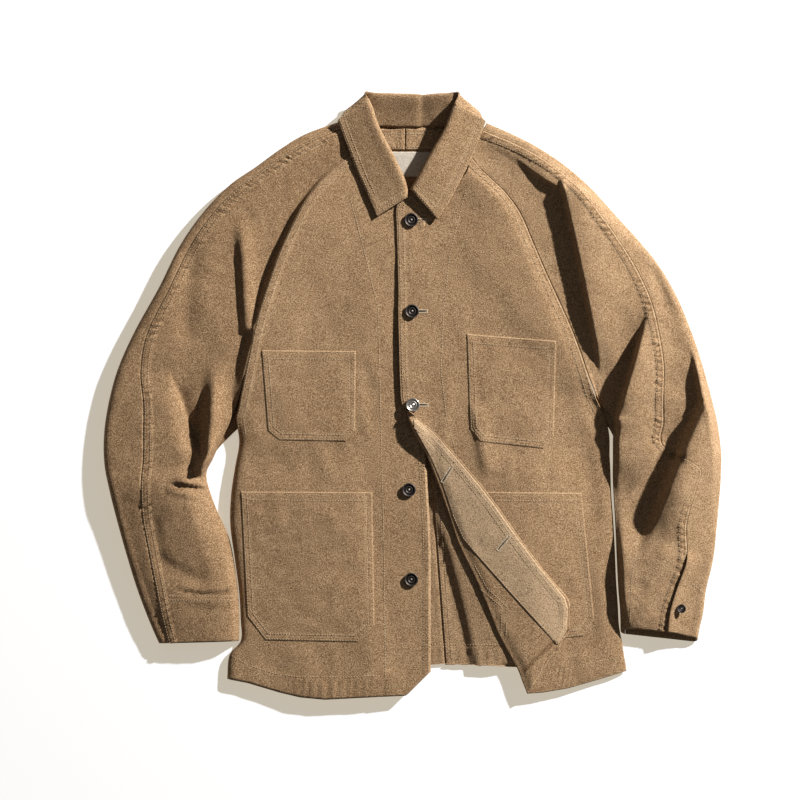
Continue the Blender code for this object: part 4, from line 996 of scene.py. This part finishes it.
def backPiece(name, spec, sleeve, sign):
    # flat panel from the side seams to the centre seam; its upper face has the seam, the hem and light
    # crumpling, and its under face lies on the surface
    t = np.linspace(0, len(spec["rows"]["edgeX"]) - 1, backSettings["rows"])
    side = bodySide(spec, sleeve, sign, t)[0]
    side = np.concatenate(([[sign * 70, 344]], side))
    side[-1, 1] += 3
    middleY = np.clip(side[:, 1], -347, 346)
    middleY[0] = 346
    low = np.clip((side[:, 1] + 300) / -50, 0, 1)
    middleY = blend(middleY, np.minimum(middleY, -347 + 17 * (1 - low)), low)
    middle = np.stack((centreSeam(middleY) + (0.9 if sign < 0 else -0.3), middleY), axis=-1)
    count = backSettings["columns"]
    share = ((np.arange(count + 1) / count) ** 0.6)[None, :, None]
    xy = blend(side[:, None, :], middle[:, None, :], share)
    fromSeam = np.linalg.norm(xy - middle[:, None, :], axis=-1)
    x, y = xy[..., 0], xy[..., 1]
    fromHem = np.abs(y - y[-1:])
    onHem = backSettings["hemWidth"] - fromHem
    height = backSettings["level"] + 0.35 * crumple(x, y, backSettings["seed"])
    along = middle[:, 1][:, None] + 0 * height
    seam = feltedBand(fromSeam, along, *backSettings["seamBand"]) * (sign > 0)
    height = height + seam * softStep((240 - along) / 40) + 0.2
    height = height + foldHeights(backSettings["folds"], x, y)
    height = height + stepHeights(backSettings["steps"], x, y)
    height = height + backSettings["hemRise"] * softStep(onHem / 2)
    height = height + 0.3 * np.sin(x / 1.9) * softStep(onHem / 4) * (fromHem > 1)
    # pale wear at the hem's edge, painted shade along the top of its band, and the centre seam's painted shade and
    # highlights from bandShade
    worn = 0.5 * bump(fromHem, 1.6) - 0.4 * bump(fromHem - 24, 1.2)
    worn = worn + bandShade(fromSeam, along, *backSettings["seamShade"]) * (sign > 0)
    height = np.maximum(height, 1.9) - 0.9 * softStep((1.6 - fromSeam) / 1.2) * (sign < 0)
    return buildSurface(name + "_cloth", withHeight(xy, height), backSettings["wall"], sign < 0, worn,
                        canvasInside, (60, 0))


pieces["back_right"] = backPiece("back_right", frontRight, sleeveRight, -1)
pieces["back_left"] = backPiece("back_left", frontLeft, sleeveLeft, 1)

# seam is where it joins the neck, roll its fold and edge its free edge; over 1 turns the fall to the
# front and -1 to the back.
collar = dict(
    wall=2.2, seed=71, outward=-1, count=240, band=(73, 10.0, 0.3, 0.2), shade=(73, 11.0, 6.6, 0.6, 0.3),
    rows=table(
        "seamX seamY seamZ rollX rollY rollZ edgeX edgeY edgeZ over",
        (-19, 248, 16.5, -4, 253, 20.0, -45, 227, 18.2, 1),
        (-37, 252, 16.5, -9, 275, 23.5, -56, 252, 18.2, 1),
        (-58, 268, 16.5, -24, 307, 25, -69, 280, 18.3, 1),
        (-72, 294, 16.5, -41, 340, 25.5, -82, 314, 18.5, 1),
        (-72, 314, 15, -50, 367, 25.1, -93.2, 344, 18.5, 0.97),
        (-72, 318, 14.5, -52, 371.5, 25, -95.2, 350, 18.5, 0.93),
        (-70.5, 323, 13, -53.6, 375, 24.4, -91.8, 354, 17.4, 0.8),
        (-63, 336, 7, -59, 385.5, 20.5, -81, 366, 9, 0.1),
        (-44, 342, 3.9, -44, 386, 18, -52, 361, 0, -0.9),
        (-22, 342, 3.8, -22, 385.5, 17, -23, 354, 0, -1),
        (-1, 342, 3.8, -1, 385, 17, -1, 353, 0, -1),
        (21, 342, 3.8, 21, 385.5, 17, 22, 354, 0, -1),
        (43, 342, 3.9, 44, 386, 18, 52, 361, 0, -0.9),
        (62, 336, 7, 59, 385, 20.5, 82, 365, 9, 0.1),
        (70.5, 321, 13, 54.4, 373, 24.4, 90.8, 353, 17.4, 0.8),
        (72, 316, 14.5, 53, 369, 25, 94.3, 349, 18.8, 0.93),
        (71.5, 311, 15, 50.8, 364, 25.2, 92.4, 343, 18.8, 0.97),
        (66, 286, 16.5, 40, 338, 26, 80, 311, 18.8, 1),
        (50, 254, 16.5, 22, 306, 25.5, 64, 277, 18.6, 1),
        (31, 232, 16.8, 7, 278, 24, 48, 247, 18.6, 1),
        (12, 243, 17.5, -2, 262, 22.5, 32, 223, 18.6, 1)),
)


def collarGrid():
    # each row runs from the neck seam up the stand, over the roll and down the fall to the free edge
    tab = collar["rows"]
    rows = np.linspace(0, len(tab["over"]) - 1, collar["count"])

    def point(name):
        return np.stack([readColumn(tab, name + axis, rows) for axis in "XYZ"], axis=-1)
    seam, roll, edge = point("seam"), point("roll"), point("edge")
    over = np.clip(readColumn(tab, "over", rows), -1, 1)[:, None]
    edge[:, 2] = np.maximum(edge[:, 2], 0)
    bend = np.minimum(4.5, (roll[:, 2:] - 2) / 3)
    flat = np.array((1, 1, 0))
    toSeam, toEdge = unit((seam - roll) * flat), unit((edge - roll) * flat)
    up = np.array((0, 0, 1.0))
    crown = roll - up * bend * np.abs(over)
    standTop = roll + toSeam * bend - up * bend * (1 + over)
    fallTop = roll + toEdge * bend - up * bend * (1 - over)
    standLow = blend(seam, standTop, 0.5)
    standLow[:, 2] = blend(seam[:, 2], standTop[:, 2], 0.45)
    stations = [seam, standLow, standTop, crown, fallTop]
    behind = softStep(-over)
    for share in (0.3, 0.65, 1.0):
        p = blend(fallTop, edge, share)
        drop = blend(fallTop[:, 2:], edge[:, 2:], 1 - (1 - share) ** 3)
        p[:, 2:] = blend(p[:, 2:], drop, behind)
        stations.append(p)
    # a Catmull-Rom curve through the stations, with more points near the free edge
    fine = np.concatenate((np.linspace(0, 2, 11)[:-1], np.linspace(2, 4, 15)[:-1], np.linspace(4, 7, 34)))
    points = np.swapaxes(readColumn({"stations": np.stack(stations)}, "stations", fine), 0, 1)
    normal = unit(np.cross(np.gradient(points, axis=0), np.gradient(points, axis=1)), 1e-9)
    steps = np.linalg.norm(np.diff(points[:, ::-1], axis=1, prepend=points[:, -1:]), axis=-1)
    fromEdge = np.cumsum(steps, axis=1)[:, ::-1]
    along = runLength(points[:, -1])[:, None] + 0 * fromEdge
    fromEnd = np.minimum(along, along[-1:] - along)
    reach = np.minimum(fromEdge, fromEnd)
    swell = 0.55 * crumple(along * 0.8, fromEdge, collar["seed"]) * softStep(fromEdge / 6)
    band = feltedBand(reach, along + fromEdge, *collar["band"])
    # the back of the fall is pressed in a little beside the centre
    away = points[..., 0] - 13
    pressed = -2.0 * behind * np.exp(-(np.abs(away) / np.where(away > 0, 13, 5)) ** 1.4)
    relief = swell + band * softStep(fromEdge / 2) + pressed
    points = points - normal * relief[..., None] * collar["outward"]
    # pale wear at the edges, painted shade in the stitch grooves and between puckers, painted highlights on their
    # crests, and a pale line along the roll
    worn = bandShade(reach, along + fromEdge, *collar["shade"])
    worn = worn + 0.4 * bump(np.arange(len(fine))[None, :] - 17, 4)
    return points, worn


collarPoints, collarWearAndLight = collarGrid()
pieces["collar"] = buildSurface("collar_cloth", collarPoints, collar["wall"], True, collarWearAndLight,
                                canvas, (70, 0))
collarPath = collarPoints[:, -1, :2]
print("backs and collar made")

def pathGrid(leftPath, rightPath, rows, columns):
    # points between two polylines read by their shares of length
    sides = []
    for path in (leftPath, rightPath):
        path = np.asarray(path, dtype=float)
        share = pathLengths(path)
        share /= share[-1]
        sides.append((path, share))
    stops = np.unique(np.concatenate([np.linspace(0, 1, rows)] + [share for path, share in sides]).round(4))
    left, right = (np.stack([np.interp(stops, share, path[:, k]) for k in range(2)], axis=-1)
                   for path, share in sides)
    across = np.linspace(0, 1, columns)[None, :, None]
    return blend(left[:, None, :], right[:, None, :], across)


def sideOf(a, b, middle):
    # a side's direction and its normal towards the middle
    way = (b - a) / np.linalg.norm(b - a)
    normal = np.array((-way[1], way[0]))
    return way, normal * np.sign(normal @ (middle - a))


def edgeDistances(xy, outline):
    # distance of each point from every side of a convex outline, and how far along that side it is
    outline = np.asarray(outline, dtype=float)
    middle = outline.mean(axis=0)
    away, along = [], []
    for a, b in zip(outline, np.roll(outline, -1, axis=0)):
        way, side = sideOf(a, b, middle)
        away.append((xy - a) @ side)
        along.append((xy - a) @ way)
    return np.stack(away), np.stack(along)


def layOn(tree, xy):
    # heights of a sheet under the points; where it ends, the nearest one in the row is kept
    height = dropOnto(tree, xy[..., 0], xy[..., 1])[0]
    for row in height:
        known = ~np.isnan(row)
        if known.any():
            row[~known] = np.interp(np.flatnonzero(~known), np.flatnonzero(known), row[known])
    for k in range(1, len(height)):
        if np.isnan(height[k]).all():
            height[k] = height[k - 1]
    return height


def subTree(points, first, last):
    # some columns of a grid as a ray tree
    part = points[:, first:last]
    return BVHTree.FromPolygons(part.reshape(-1, 3).tolist(), gridQuads(*part.shape[:2]).tolist())


mainLeft = subTree(leftPoints, 0, leftMain + 1)
flapLeft = subTree(leftPoints, leftMain + 4, leftPoints.shape[1])
wholeRight = rayTree(pieces["front_right"])
pockets = dict(
    step=1.73, wall=0.4, lift=0.03, hem=11.5, edgeBand=8.5, seed=81,
    outlines=dict(
        pocket_chest_right=((-193, 56), (-72, 55), (-73, -46), (-85, -61), (-170, -59), (-185, -47)),
        pocket_chest_left=((70, 77), (185, 68), (182, -54), (168, -70), (88, -61), (74, -45)),
        pocket_hip_right=((-220, -125), (-51, -126), (-48, -297), (-70, -318), (-188, -316), (-212, -285)),
        pocket_hip_left=((62, -125), (218, -127), (234, -289), (220, -311), (150, -317), (124, -318))),
)
pocketTrees = {}
for name, outline in pockets["outlines"].items():
    onTree = wholeRight if name.endswith("right") else mainLeft
    wide = math.hypot(outline[1][0] - outline[0][0], outline[1][1] - outline[0][1])
    tall = abs(outline[0][1] - outline[4][1])
    xy = pathGrid((outline[0], outline[5], outline[4]), (outline[1], outline[2], outline[3]),
                  int(tall / pockets["step"]), int(wide / pockets["step"]))
    away, along = edgeDistances(xy, outline)
    hidden = name == "pocket_hip_left"
    relief = feltedBand(away[0], along[0], pockets["seed"], pockets["hem"], 0.2, 0.12)
    rim = np.minimum.reduce(away[1:5] if hidden else away[1:])
    run = np.take_along_axis(along[1:], np.argmin(away[1:], axis=0)[None], axis=0)[0]
    rimBand = feltedBand(rim, run, pockets["seed"] + 3, pockets["edgeBand"], 0.12, 0.16)
    relief = relief + rimBand * softStep((away[0] - 4) / 8)
    puff = softStep(np.minimum(rim, away[0]) / 24)
    height = layOn(onTree, xy) + pockets["lift"] + pockets["wall"] + relief
    height = height + puff * (0.5 + 0.8 * crumple(xy[..., 0], xy[..., 1], pockets["seed"] + len(name)))
    # pale wear at the rim and the top edge; painted shade in the stitch grooves, between puckers and along the
    # hem's lower fold, and painted highlights on the pucker crests
    worn = bandShade(rim, run, pockets["seed"] + 3, pockets["edgeBand"] + 1, edge=0.55, dark=0.42)
    worn = worn + 0.9 * bump(away[0], 1.4) + 0.25 * bump(away[0] - pockets["hem"] + 3, 1.6)
    worn = worn - 0.55 * bump(away[0] - pockets["hem"], 1.1) - 0.25 * bump(away[0] - 2.4, 0.8)
    pieces[name] = buildSurface(name + "_cloth", withHeight(xy, height), pockets["wall"], True, worn,
                                canvas, (len(name), 3))
    pocketTrees[name] = rayTree(pieces[name])

# the facing inside the folded flap, from its inner edge to the flap's free edge
facing = dict(
    wall=0.3, lift=0.08, seed=91, band=(93, 11.0, 0.5, 0.35), shade=(93, 11.5, 6.6, 0.6, 0.35),
    inner=((2, -33), (3, -44), (12, -60), (23, -80), (37, -113), (45, -136), (51, -156), (65, -187), (87, -212.5),
           (129, -260), (170, -304.6), (186, -321)),
    outer=((6.5, -32.5), (14.5, -39.5), (24.5, -47), (38, -61), (60, -86), (87, -118), (107, -144), (135, -184),
           (158, -215), (181, -243), (196.5, -262), (200, -275), (198.5, -303), (187, -321.5)),
)
xy = pathGrid(facing["inner"], facing["outer"], 140, 24)
fromOuter = np.linalg.norm(xy - xy[:, -1:], axis=-1)
fromInner = np.linalg.norm(xy - xy[:, :1], axis=-1)
along = runLength(xy[:, -1])[:, None] + 0 * fromOuter
height = layOn(flapLeft, xy) + cloth["flapWall"] + facing["lift"] + facing["wall"]
height = height + feltedBand(fromOuter, along, *facing["band"])
height = height + 0.15 * crumple(xy[..., 0], xy[..., 1], facing["seed"])
# pale wear at both edges; painted shade in the stitch grooves and between puckers, and painted highlights on their
# crests
worn = bandShade(fromOuter, along, *facing["shade"]) + 0.3 * bump(fromInner, 1.2)
pieces["front_facing_left"] = buildSurface("front_facing_left_cloth", withHeight(xy, height), facing["wall"],
                                           True, worn, canvasFacing, (90, 0))
facingTree = rayTree(pieces["front_facing_left"])

# the two halves of the back neck facing and the bare label
neck = dict(
    low=3.3, labelLow=4.0, wall=0.7, seed=95, labelSeed=99, lower=314, labelTop=311, band=(97, 9.0, 0.3, 0.4),
    neck_facing_right=(((-60, 338), (-68, 324), (-60, 314)), ((-9.3, 341), (-9.3, 330), (-9.3, 314))),
    neck_facing_left=(((-8.7, 341), (-8.7, 330), (-8.7, 314)), ((60, 338), (68, 324), (60, 314))),
    neck_label=(((-27, 311), (-20, 279)), ((27, 311), (20, 279))),
)
labelWeave, labelTree, labelShader = newMaterial("woven label")
labelPlace = placeOf(labelTree)
labelRibs = reading(labelTree, "ShaderNodeTexWave", "Fac", dict(bands_direction="Y"),
                    {"Vector": labelPlace, "Scale": 260.0, "Distortion": 2.0, "Detail": 2.0})
labelSpecks = noiseOf(labelTree, labelPlace, 420.0, 3.0)
labelAmount = (labelRibs * 0.4 + labelSpecks * 0.9 - 0.2).math("MAXIMUM", 0.0, clamp=True)
labelTone = mixColours(labelTree, labelAmount, (0.36, 0.31, 0.25), (0.78, 0.73, 0.65))
plug(labelTree, labelShader, {"Base Color": labelTone, "Roughness": 0.8, "Specular IOR Level": 0.15})
for name in ("neck_facing_right", "neck_facing_left", "neck_label"):
    xy = pathGrid(*neck[name], 24, 36)
    bare = name == "neck_label"
    x, y = xy[..., 0], xy[..., 1]
    height = neck["labelLow" if bare else "low"] + 0 * x
    if bare:
        height = height + 0.25 * crumple(x, y, neck["labelSeed"])
        height = height - 0.3 * bump((neck["labelTop"] - y) - 1.5, 1)
    else:
        height = height + 0.5 * crumple(x, y * 1.4, neck["seed"])
        height = height + feltedBand(y - neck["lower"], x, *neck["band"])
        height = height + 0.5 * bump(x + 9 - (4 if name.endswith("left") else -4), 4)
    worn = 0.5 * bump(y - neck["lower"], 1.2)
    pieces[name] = buildSurface(name + "_cloth", withHeight(xy, height), neck["wall"], True, worn,
                                labelWeave if bare else canvasInside, (95, 0))
print("pockets, facing and neck made")

# profiles run from the middle of the face over the rim to the middle of the back: radius, height, wear
buttons = dict(
    segments=44, lift=0.9, sunk=0.4, leastFoot=-1.0, footRadius=2.0, lean=0.05,
    profile=((0, 1.9, 1.0), (0.9, 1.9, 1.0), (1.5, 1.35, 0.5), (2.0, 1.0, 0.0), (2.7, 1.0, 0.0), (3.3, 1.7, 0.2),
             (3.9, 2.15, 0.2), (4.5, 2.1, 0.15), (5.1, 1.7, 0.0), (5.9, 1.5, 0.0), (6.5, 1.9, 0.0), (7.0, 2.6, 0.1),
             (7.6, 3.1, 0.3), (8.1, 3.2, 0.35), (8.5, 3.0, 0.25), (8.8, 2.5, 0.1), (8.9, 1.8, 0.0), (8.7, 0.9, 0.0),
             (8.0, 0.3, 0.0), (6.6, 0.0, 0.0), (2.0, 0.0, 0.0)),
    places=(("button_1", -1, 223, True), ("button_2", 0, 106, True), ("button_3", 1, -14, True),
            ("button_4", -4, -123, False), ("button_5", -1, -238, False)),
)


def lathe(name, profile, x, y, z, foot, tilt, material):
    # a turned solid: rings of the profile round an upright axis, closed by one point at each pole
    count = buttons["segments"]
    turn = np.arange(count) * 2 * math.pi / count
    rings = [(r, h, w) for r, h, w in profile if r > 0] + [(buttons["footRadius"], foot, 0.0)]
    ringPoints = np.array([[(r * math.cos(a), r * math.sin(a), h) for a in turn] for r, h, w in rings])
    verts = np.concatenate((ringPoints.reshape(-1, 3), [[0, 0, profile[0][1]], [0, 0, foot]]))
    worn = np.concatenate((np.repeat([w for r, h, w in rings], count), [profile[0][2], 0]))
    index = np.arange(len(rings) * count).reshape(len(rings), count)
    ahead = np.roll(index, -1, axis=1)
    quads = np.stack((index[:-1], index[1:], ahead[1:], ahead[:-1]), axis=-1).reshape(-1, 4).tolist()
    top = [(len(verts) - 2, a, b) for a, b in zip(index[0], ahead[0])]
    bottom = [(len(verts) - 1, b, a) for a, b in zip(index[-1], ahead[-1])]
    verts[:, 2] += verts[:, 0] * math.tan(tilt[0]) + verts[:, 1] * math.tan(tilt[1])
    verts = (verts + (x + cloth["centreX"], y + cloth["centreY"], z)) * mm
    mesh = bpy.data.meshes.new(name)
    mesh.from_pydata(verts.tolist(), [], quads + [tuple(map(int, f)) for f in top + bottom])
    mesh.polygons.foreach_set("use_smooth", np.ones(len(mesh.polygons), dtype=bool))
    mesh.attributes.new("worn", "FLOAT", "POINT").data.foreach_set("value", worn.astype(np.float32))
    mesh.materials.append(material)
    return addObject(name, mesh)


fastenings = {}
wholeLeft = rayTree(pieces["front_left"])
for k, (name, x, y, through) in enumerate(buttons["places"]):
    onTree = wholeLeft if through else wholeRight
    at = np.array([float(x)]), np.array([float(y)])
    seat = float(dropOnto(onTree, *at)[0][0]) + buttons["lift"]
    foot = min(buttons["leastFoot"], float(dropOnto(wholeRight, *at)[0][0]) + buttons["sunk"] - seat)
    metal = wornSilver if name == "button_3" else gunmetal
    tilt = (buttons["lean"] * math.sin(k * 2.1), buttons["lean"] * math.cos(k * 1.7))
    fastenings[name] = lathe(name + "_metal", buttons["profile"], x, y, seat, foot, tilt, metal)
cuffButton = dict(x=345, y=-275, z=19.0, foot=-3.0, scale=0.64, tilt=(0.1, -0.1))
smallProfile = [(r * cuffButton["scale"], h * cuffButton["scale"], w) for r, h, w in buttons["profile"]]
fastenings["cuff_button"] = lathe("cuff_button_metal", smallProfile, cuffButton["x"], cuffButton["y"],
                                  cuffButton["z"], cuffButton["foot"], cuffButton["tilt"], gunmetal)
for name, piece in fastenings.items():
    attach(piece, "root")
    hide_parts(name)

holes = dict(width=1.5, rim=2.3, pitch=0.75, endPitch=0.7, reach=1.6, scale=0.8, threadPitch=3.9,
             wall=0.3, lift=0.35,
             rows=((9, 223, 0, 16, "left"), (10, 106, 0, 16, "left"), (11, -14, 0, 16, "left"),
                   (45, -103, 58, 22, "facing"), (117, -191, 50, 22, "facing")))


def placeSlitShade(name, tree, x, y, turn, length):
    # a narrow dark leaf lying on the cloth: painted shade for the parting of a buttonhole
    share = np.linspace(-1, 1, 13)
    c, s = math.cos(math.radians(turn)), math.sin(math.radians(turn))
    half = holes["width"] * (0.5 if length < 20 else 0.28) * (1 - share ** 6)
    u = share * length / 2
    rows = []
    for side in (1, 0, -1):
        px, py = x + c * u - s * side * half, y + s * u + c * side * half
        height = dropOnto(tree, px, py)[0]
        rows.append(np.stack((px, py, np.nan_to_num(height, nan=np.nanmean(height)) + holes["lift"]), axis=-1))
    return buildSurface(name, np.stack(rows, axis=1), holes["wall"], False, None, paintedSlitShade)


def sewShort(tree, x, y, c, s, u, v, way):
    # one short stitch along way, centred u along the buttonhole and v across it
    mid = np.array((x + c * u - s * v, y + s * u + c * v))
    reach = way * holes["reach"]
    sew("buttonhole_thread", tree, [mid - reach, mid + reach], scale=holes["scale"], pitch=holes["threadPitch"])


for k, (x, y, turn, length, on) in enumerate(holes["rows"]):
    tree = wholeLeft if on == "left" else facingTree
    slit = placeSlitShade(f"buttonhole_{k + 1}", tree, x, y, turn, length)
    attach(slit, "root")
    c, s = math.cos(math.radians(turn)), math.sin(math.radians(turn))
    for side in (-1, 1):
        for u in np.arange(-length / 2 - 0.5, length / 2 + 0.5, holes["pitch"]):
            sewShort(tree, x, y, c, s, u, side * holes["rim"] * 0.75, np.array((-s, c)))
    for end in (-1, 1):
        for v in np.arange(-2.2, 2.3, holes["endPitch"]):
            sewShort(tree, x, y, c, s, end * (length / 2 + 1.2), v, np.array((c, s)))
finishStitches("buttonhole_thread", holeThread)

for spec in (sleeveRight, sleeveLeft):
    side = "right" if spec["mirror"] < 0 else "left"
    top = rayTree(pieces[f"sleeve_{side}_front"])
    lines = spec["front"]
    for distance in (2.2, 9.4):
        keep = (lines["t"] > 0.25) & (lines["start"] - distance > 6)
        path = lines["inner"] + lines["run"] * (lines["start"] - distance)[:, None]
        sew("seam_thread", top, path[keep])
    for half, tree in (("front", top), ("back", rayTree(pieces[f"sleeve_{side}_back"]))):
        for row in spec["cuffRows"]:
            sew("seam_thread", tree, polyline(*row), minHeight=8)

for tree, t, side, edge, last in ((wholeRight, rightT, rightSide, rightEdge, 10.7),
                                  (mainLeft, leftT, leftSide, leftEdge, 11.6)):
    for distance in (2.2, 9.8):
        sew("seam_thread", tree, (side + unit(edge - side) * distance)[(t > 0.3) & (t < last)])

# each piece joins the root body, and the part of the same name from the file is hidden
for name, piece in pieces.items():
    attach(piece, "root")
    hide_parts(name)


def insetPath(outline, inset, order):
    # the outline's corners moved inwards by the inset, as one polyline
    outline = np.asarray(outline, dtype=float)
    middle = outline.mean(axis=0)
    corners = []
    for before, here, after in zip(np.roll(outline, 1, axis=0), outline, np.roll(outline, -1, axis=0)):
        lines = []
        for a, b in ((before, here), (here, after)):
            side = sideOf(a, b, middle)[1]
            lines.append((side, side @ a + inset))
        normals, distances = zip(*lines)
        corners.append(np.linalg.solve(np.array(normals), np.array(distances)))
    return polyline(*[corners[k] for k in order])


for name, outline in pockets["outlines"].items():
    hidden = name == "pocket_hip_left"
    order = (1, 2, 3, 4) if hidden else (1, 2, 3, 4, 5, 0)
    for inset in (2.0, 8.2):
        sew("seam_thread", pocketTrees[name], insetPath(outline, inset, order), lift=-0.05)
    for inset, scale in ((11.0, 1.0), (1.6, 0.8)):
        sew("seam_thread", pocketTrees[name], insetPath(outline, inset, (0, 1)), scale=scale)

# front edges, facing lines and hems
for distance in (3.0, 9.0):
    sew("seam_thread", wholeRight, (rightEdge - unit(rightEdge - rightSide) * distance)[rightT > 10])
for tree, *path in (
        (wholeRight, (-79, 250), (-60, 178), (-43.5, 107.5), (-41, -8), (-36, -203), (-34.5, -361)),
        (wholeRight, (-34.5, -376), (-9, -376)),
        (wholeRight, (-232, -336), (-210, -348), (-174, -359.5), (-145, -363), (-84, -363), (-41, -361)),
        (mainLeft, (270, -338), (266, -338), (210, -350), (161, -363))):
    sew("seam_thread", tree, polyline(*path))
leftFree = leftPoints[:, -1, :2]
leftUnit = unit(leftFree - leftPoints[:, -6, :2], 1e-9)
for distance in (3.5, 9.0):
    sew("seam_thread", wholeLeft, (leftFree - leftUnit * distance)[(leftT > 3.4) & (leftT < 11.8)])
sew("seam_thread", mainLeft, polyline((69, 262), (48, 178), (40, 100), (37, 30), (44, -30), (60, -90)))
outerPath = np.asarray(facing["outer"])
for distance in (5.5, 10.5):
    sew("seam_thread", facingTree, polyline(*sidePath(outerPath, -distance)))
sew("seam_thread", facingTree, polyline(*(np.asarray(facing["inner"])[6:] + (1.2, 1.6))))
for shift in (0, 6.5):
    sew("seam_thread", flapLeft, polyline((74 + shift, -226 + shift), (90 + shift, -252 + shift / 2),
                                          (115 + shift, -273), (114 + shift, -310)), lift=cloth["flapWall"])
sew("seam_thread", flapLeft, polyline((168, -306), (134, -354)), lift=cloth["flapWall"])

# collar: two rows inside the free edge and two inside each end
collarTree = rayTree(pieces["collar"])
edgeRun = collarPath[12:-12]
inwardRun = unit(collarPoints[12:-12, -12, :2] - edgeRun, 1e-9)
for distance in (3.5, 9.5):
    sew("seam_thread", collarTree, edgeRun + inwardRun * distance, minHeight=15)
for first, distance in ((0, 3.5), (0, 9.5), (-1, 3.5), (-1, 9.5)):
    end = collarPoints[first, 24:, :2]
    near = collarPoints[first + (6 if first == 0 else -6), 24:, :2]
    sew("seam_thread", collarTree, (end + unit(near - end, 1e-9) * distance)[:-6], minHeight=15)

# inside: back neck facing, centre back seam and hem
for name in ("neck_facing_right", "neck_facing_left"):
    tree = rayTree(pieces[name])
    for reach, y in ((62, 317), (64, 334)):
        sew("seam_thread", tree, polyline((-reach, y), (reach, y)))
backTrees = [rayTree(pieces["back_right"]), rayTree(pieces["back_left"])]
ys = np.linspace(-100, -342, 60)
for shift in (2.2, 8.2):
    sew("seam_thread", backTrees[1], np.stack((centreSeam(ys) + shift, ys), axis=-1))
for tree in backTrees:
    sew("seam_thread", tree, polyline((-60, -322), (170, -322)))
finishStitches("seam_thread", thread)

stageSettings = dict(floor=(0.63, 0.70, 0.85), glow=(0.485, 0.43, 0.335), keyPower=2950.0, keySize=0.09,
                     keyDistance=5.6, skyStrength=0.10, keyFrom=(0.77, 0.64), keyHeight=23.5,
                     keyColour=(1.0, 0.97, 0.92), skyColour=(1.0, 0.975, 0.94, 1), floorReach=4, floorDrop=0.0002,
                     lens=135, sensor=36, clip=50, cameraPlace=(-16 * mm, -6 * mm, 3.86))
floorMesh = bpy.data.meshes.new("floor")
reach, drop = stageSettings["floorReach"], stageSettings["floorDrop"]
corners = [(x * reach, y * reach, -drop) for x, y in ((-1, -1), (1, -1), (1, 1), (-1, 1))]
floorMesh.from_pydata(corners, [], [(0, 1, 2, 3)])
floor = addObject("floor", floorMesh)
floorMaterial, floorTree, floorShader = newMaterial("pale floor")
plug(floorTree, floorShader, {"Base Color": (*stageSettings["floor"], 1), "Roughness": 0.9,
                              "Emission Color": (*stageSettings["glow"], 1), "Emission Strength": 1.0})
floorMesh.materials.append(floorMaterial)

keyData = bpy.data.lights.new("key", "POINT")
keyData.energy = stageSettings["keyPower"]
keyData.shadow_soft_size = stageSettings["keySize"]
keyData.color = stageSettings["keyColour"]
key = addObject("key", keyData)
level = math.radians(stageSettings["keyHeight"])
keyX, keyY = (c / math.hypot(*stageSettings["keyFrom"]) for c in stageSettings["keyFrom"])
towards = Vector((keyX * math.cos(level), keyY * math.cos(level), math.sin(level)))
key.location = towards * stageSettings["keyDistance"]
world = bpy.data.worlds.new("soft sky")
world.use_nodes = True
plug(world.node_tree, world.node_tree.nodes["Background"],
     {"Color": stageSettings["skyColour"], "Strength": stageSettings["skyStrength"]})
bpy.context.scene.world = world

cameraData = bpy.data.cameras.new("above")
cameraData.lens = stageSettings["lens"]
cameraData.sensor_width = stageSettings["sensor"]
cameraData.clip_end = stageSettings["clip"]
camera = addObject("above", cameraData)
camera.location = stageSettings["cameraPlace"]
bpy.context.scene.camera = camera
bpy.context.scene.view_settings.view_transform = "Standard"
print("floor, light and camera made")
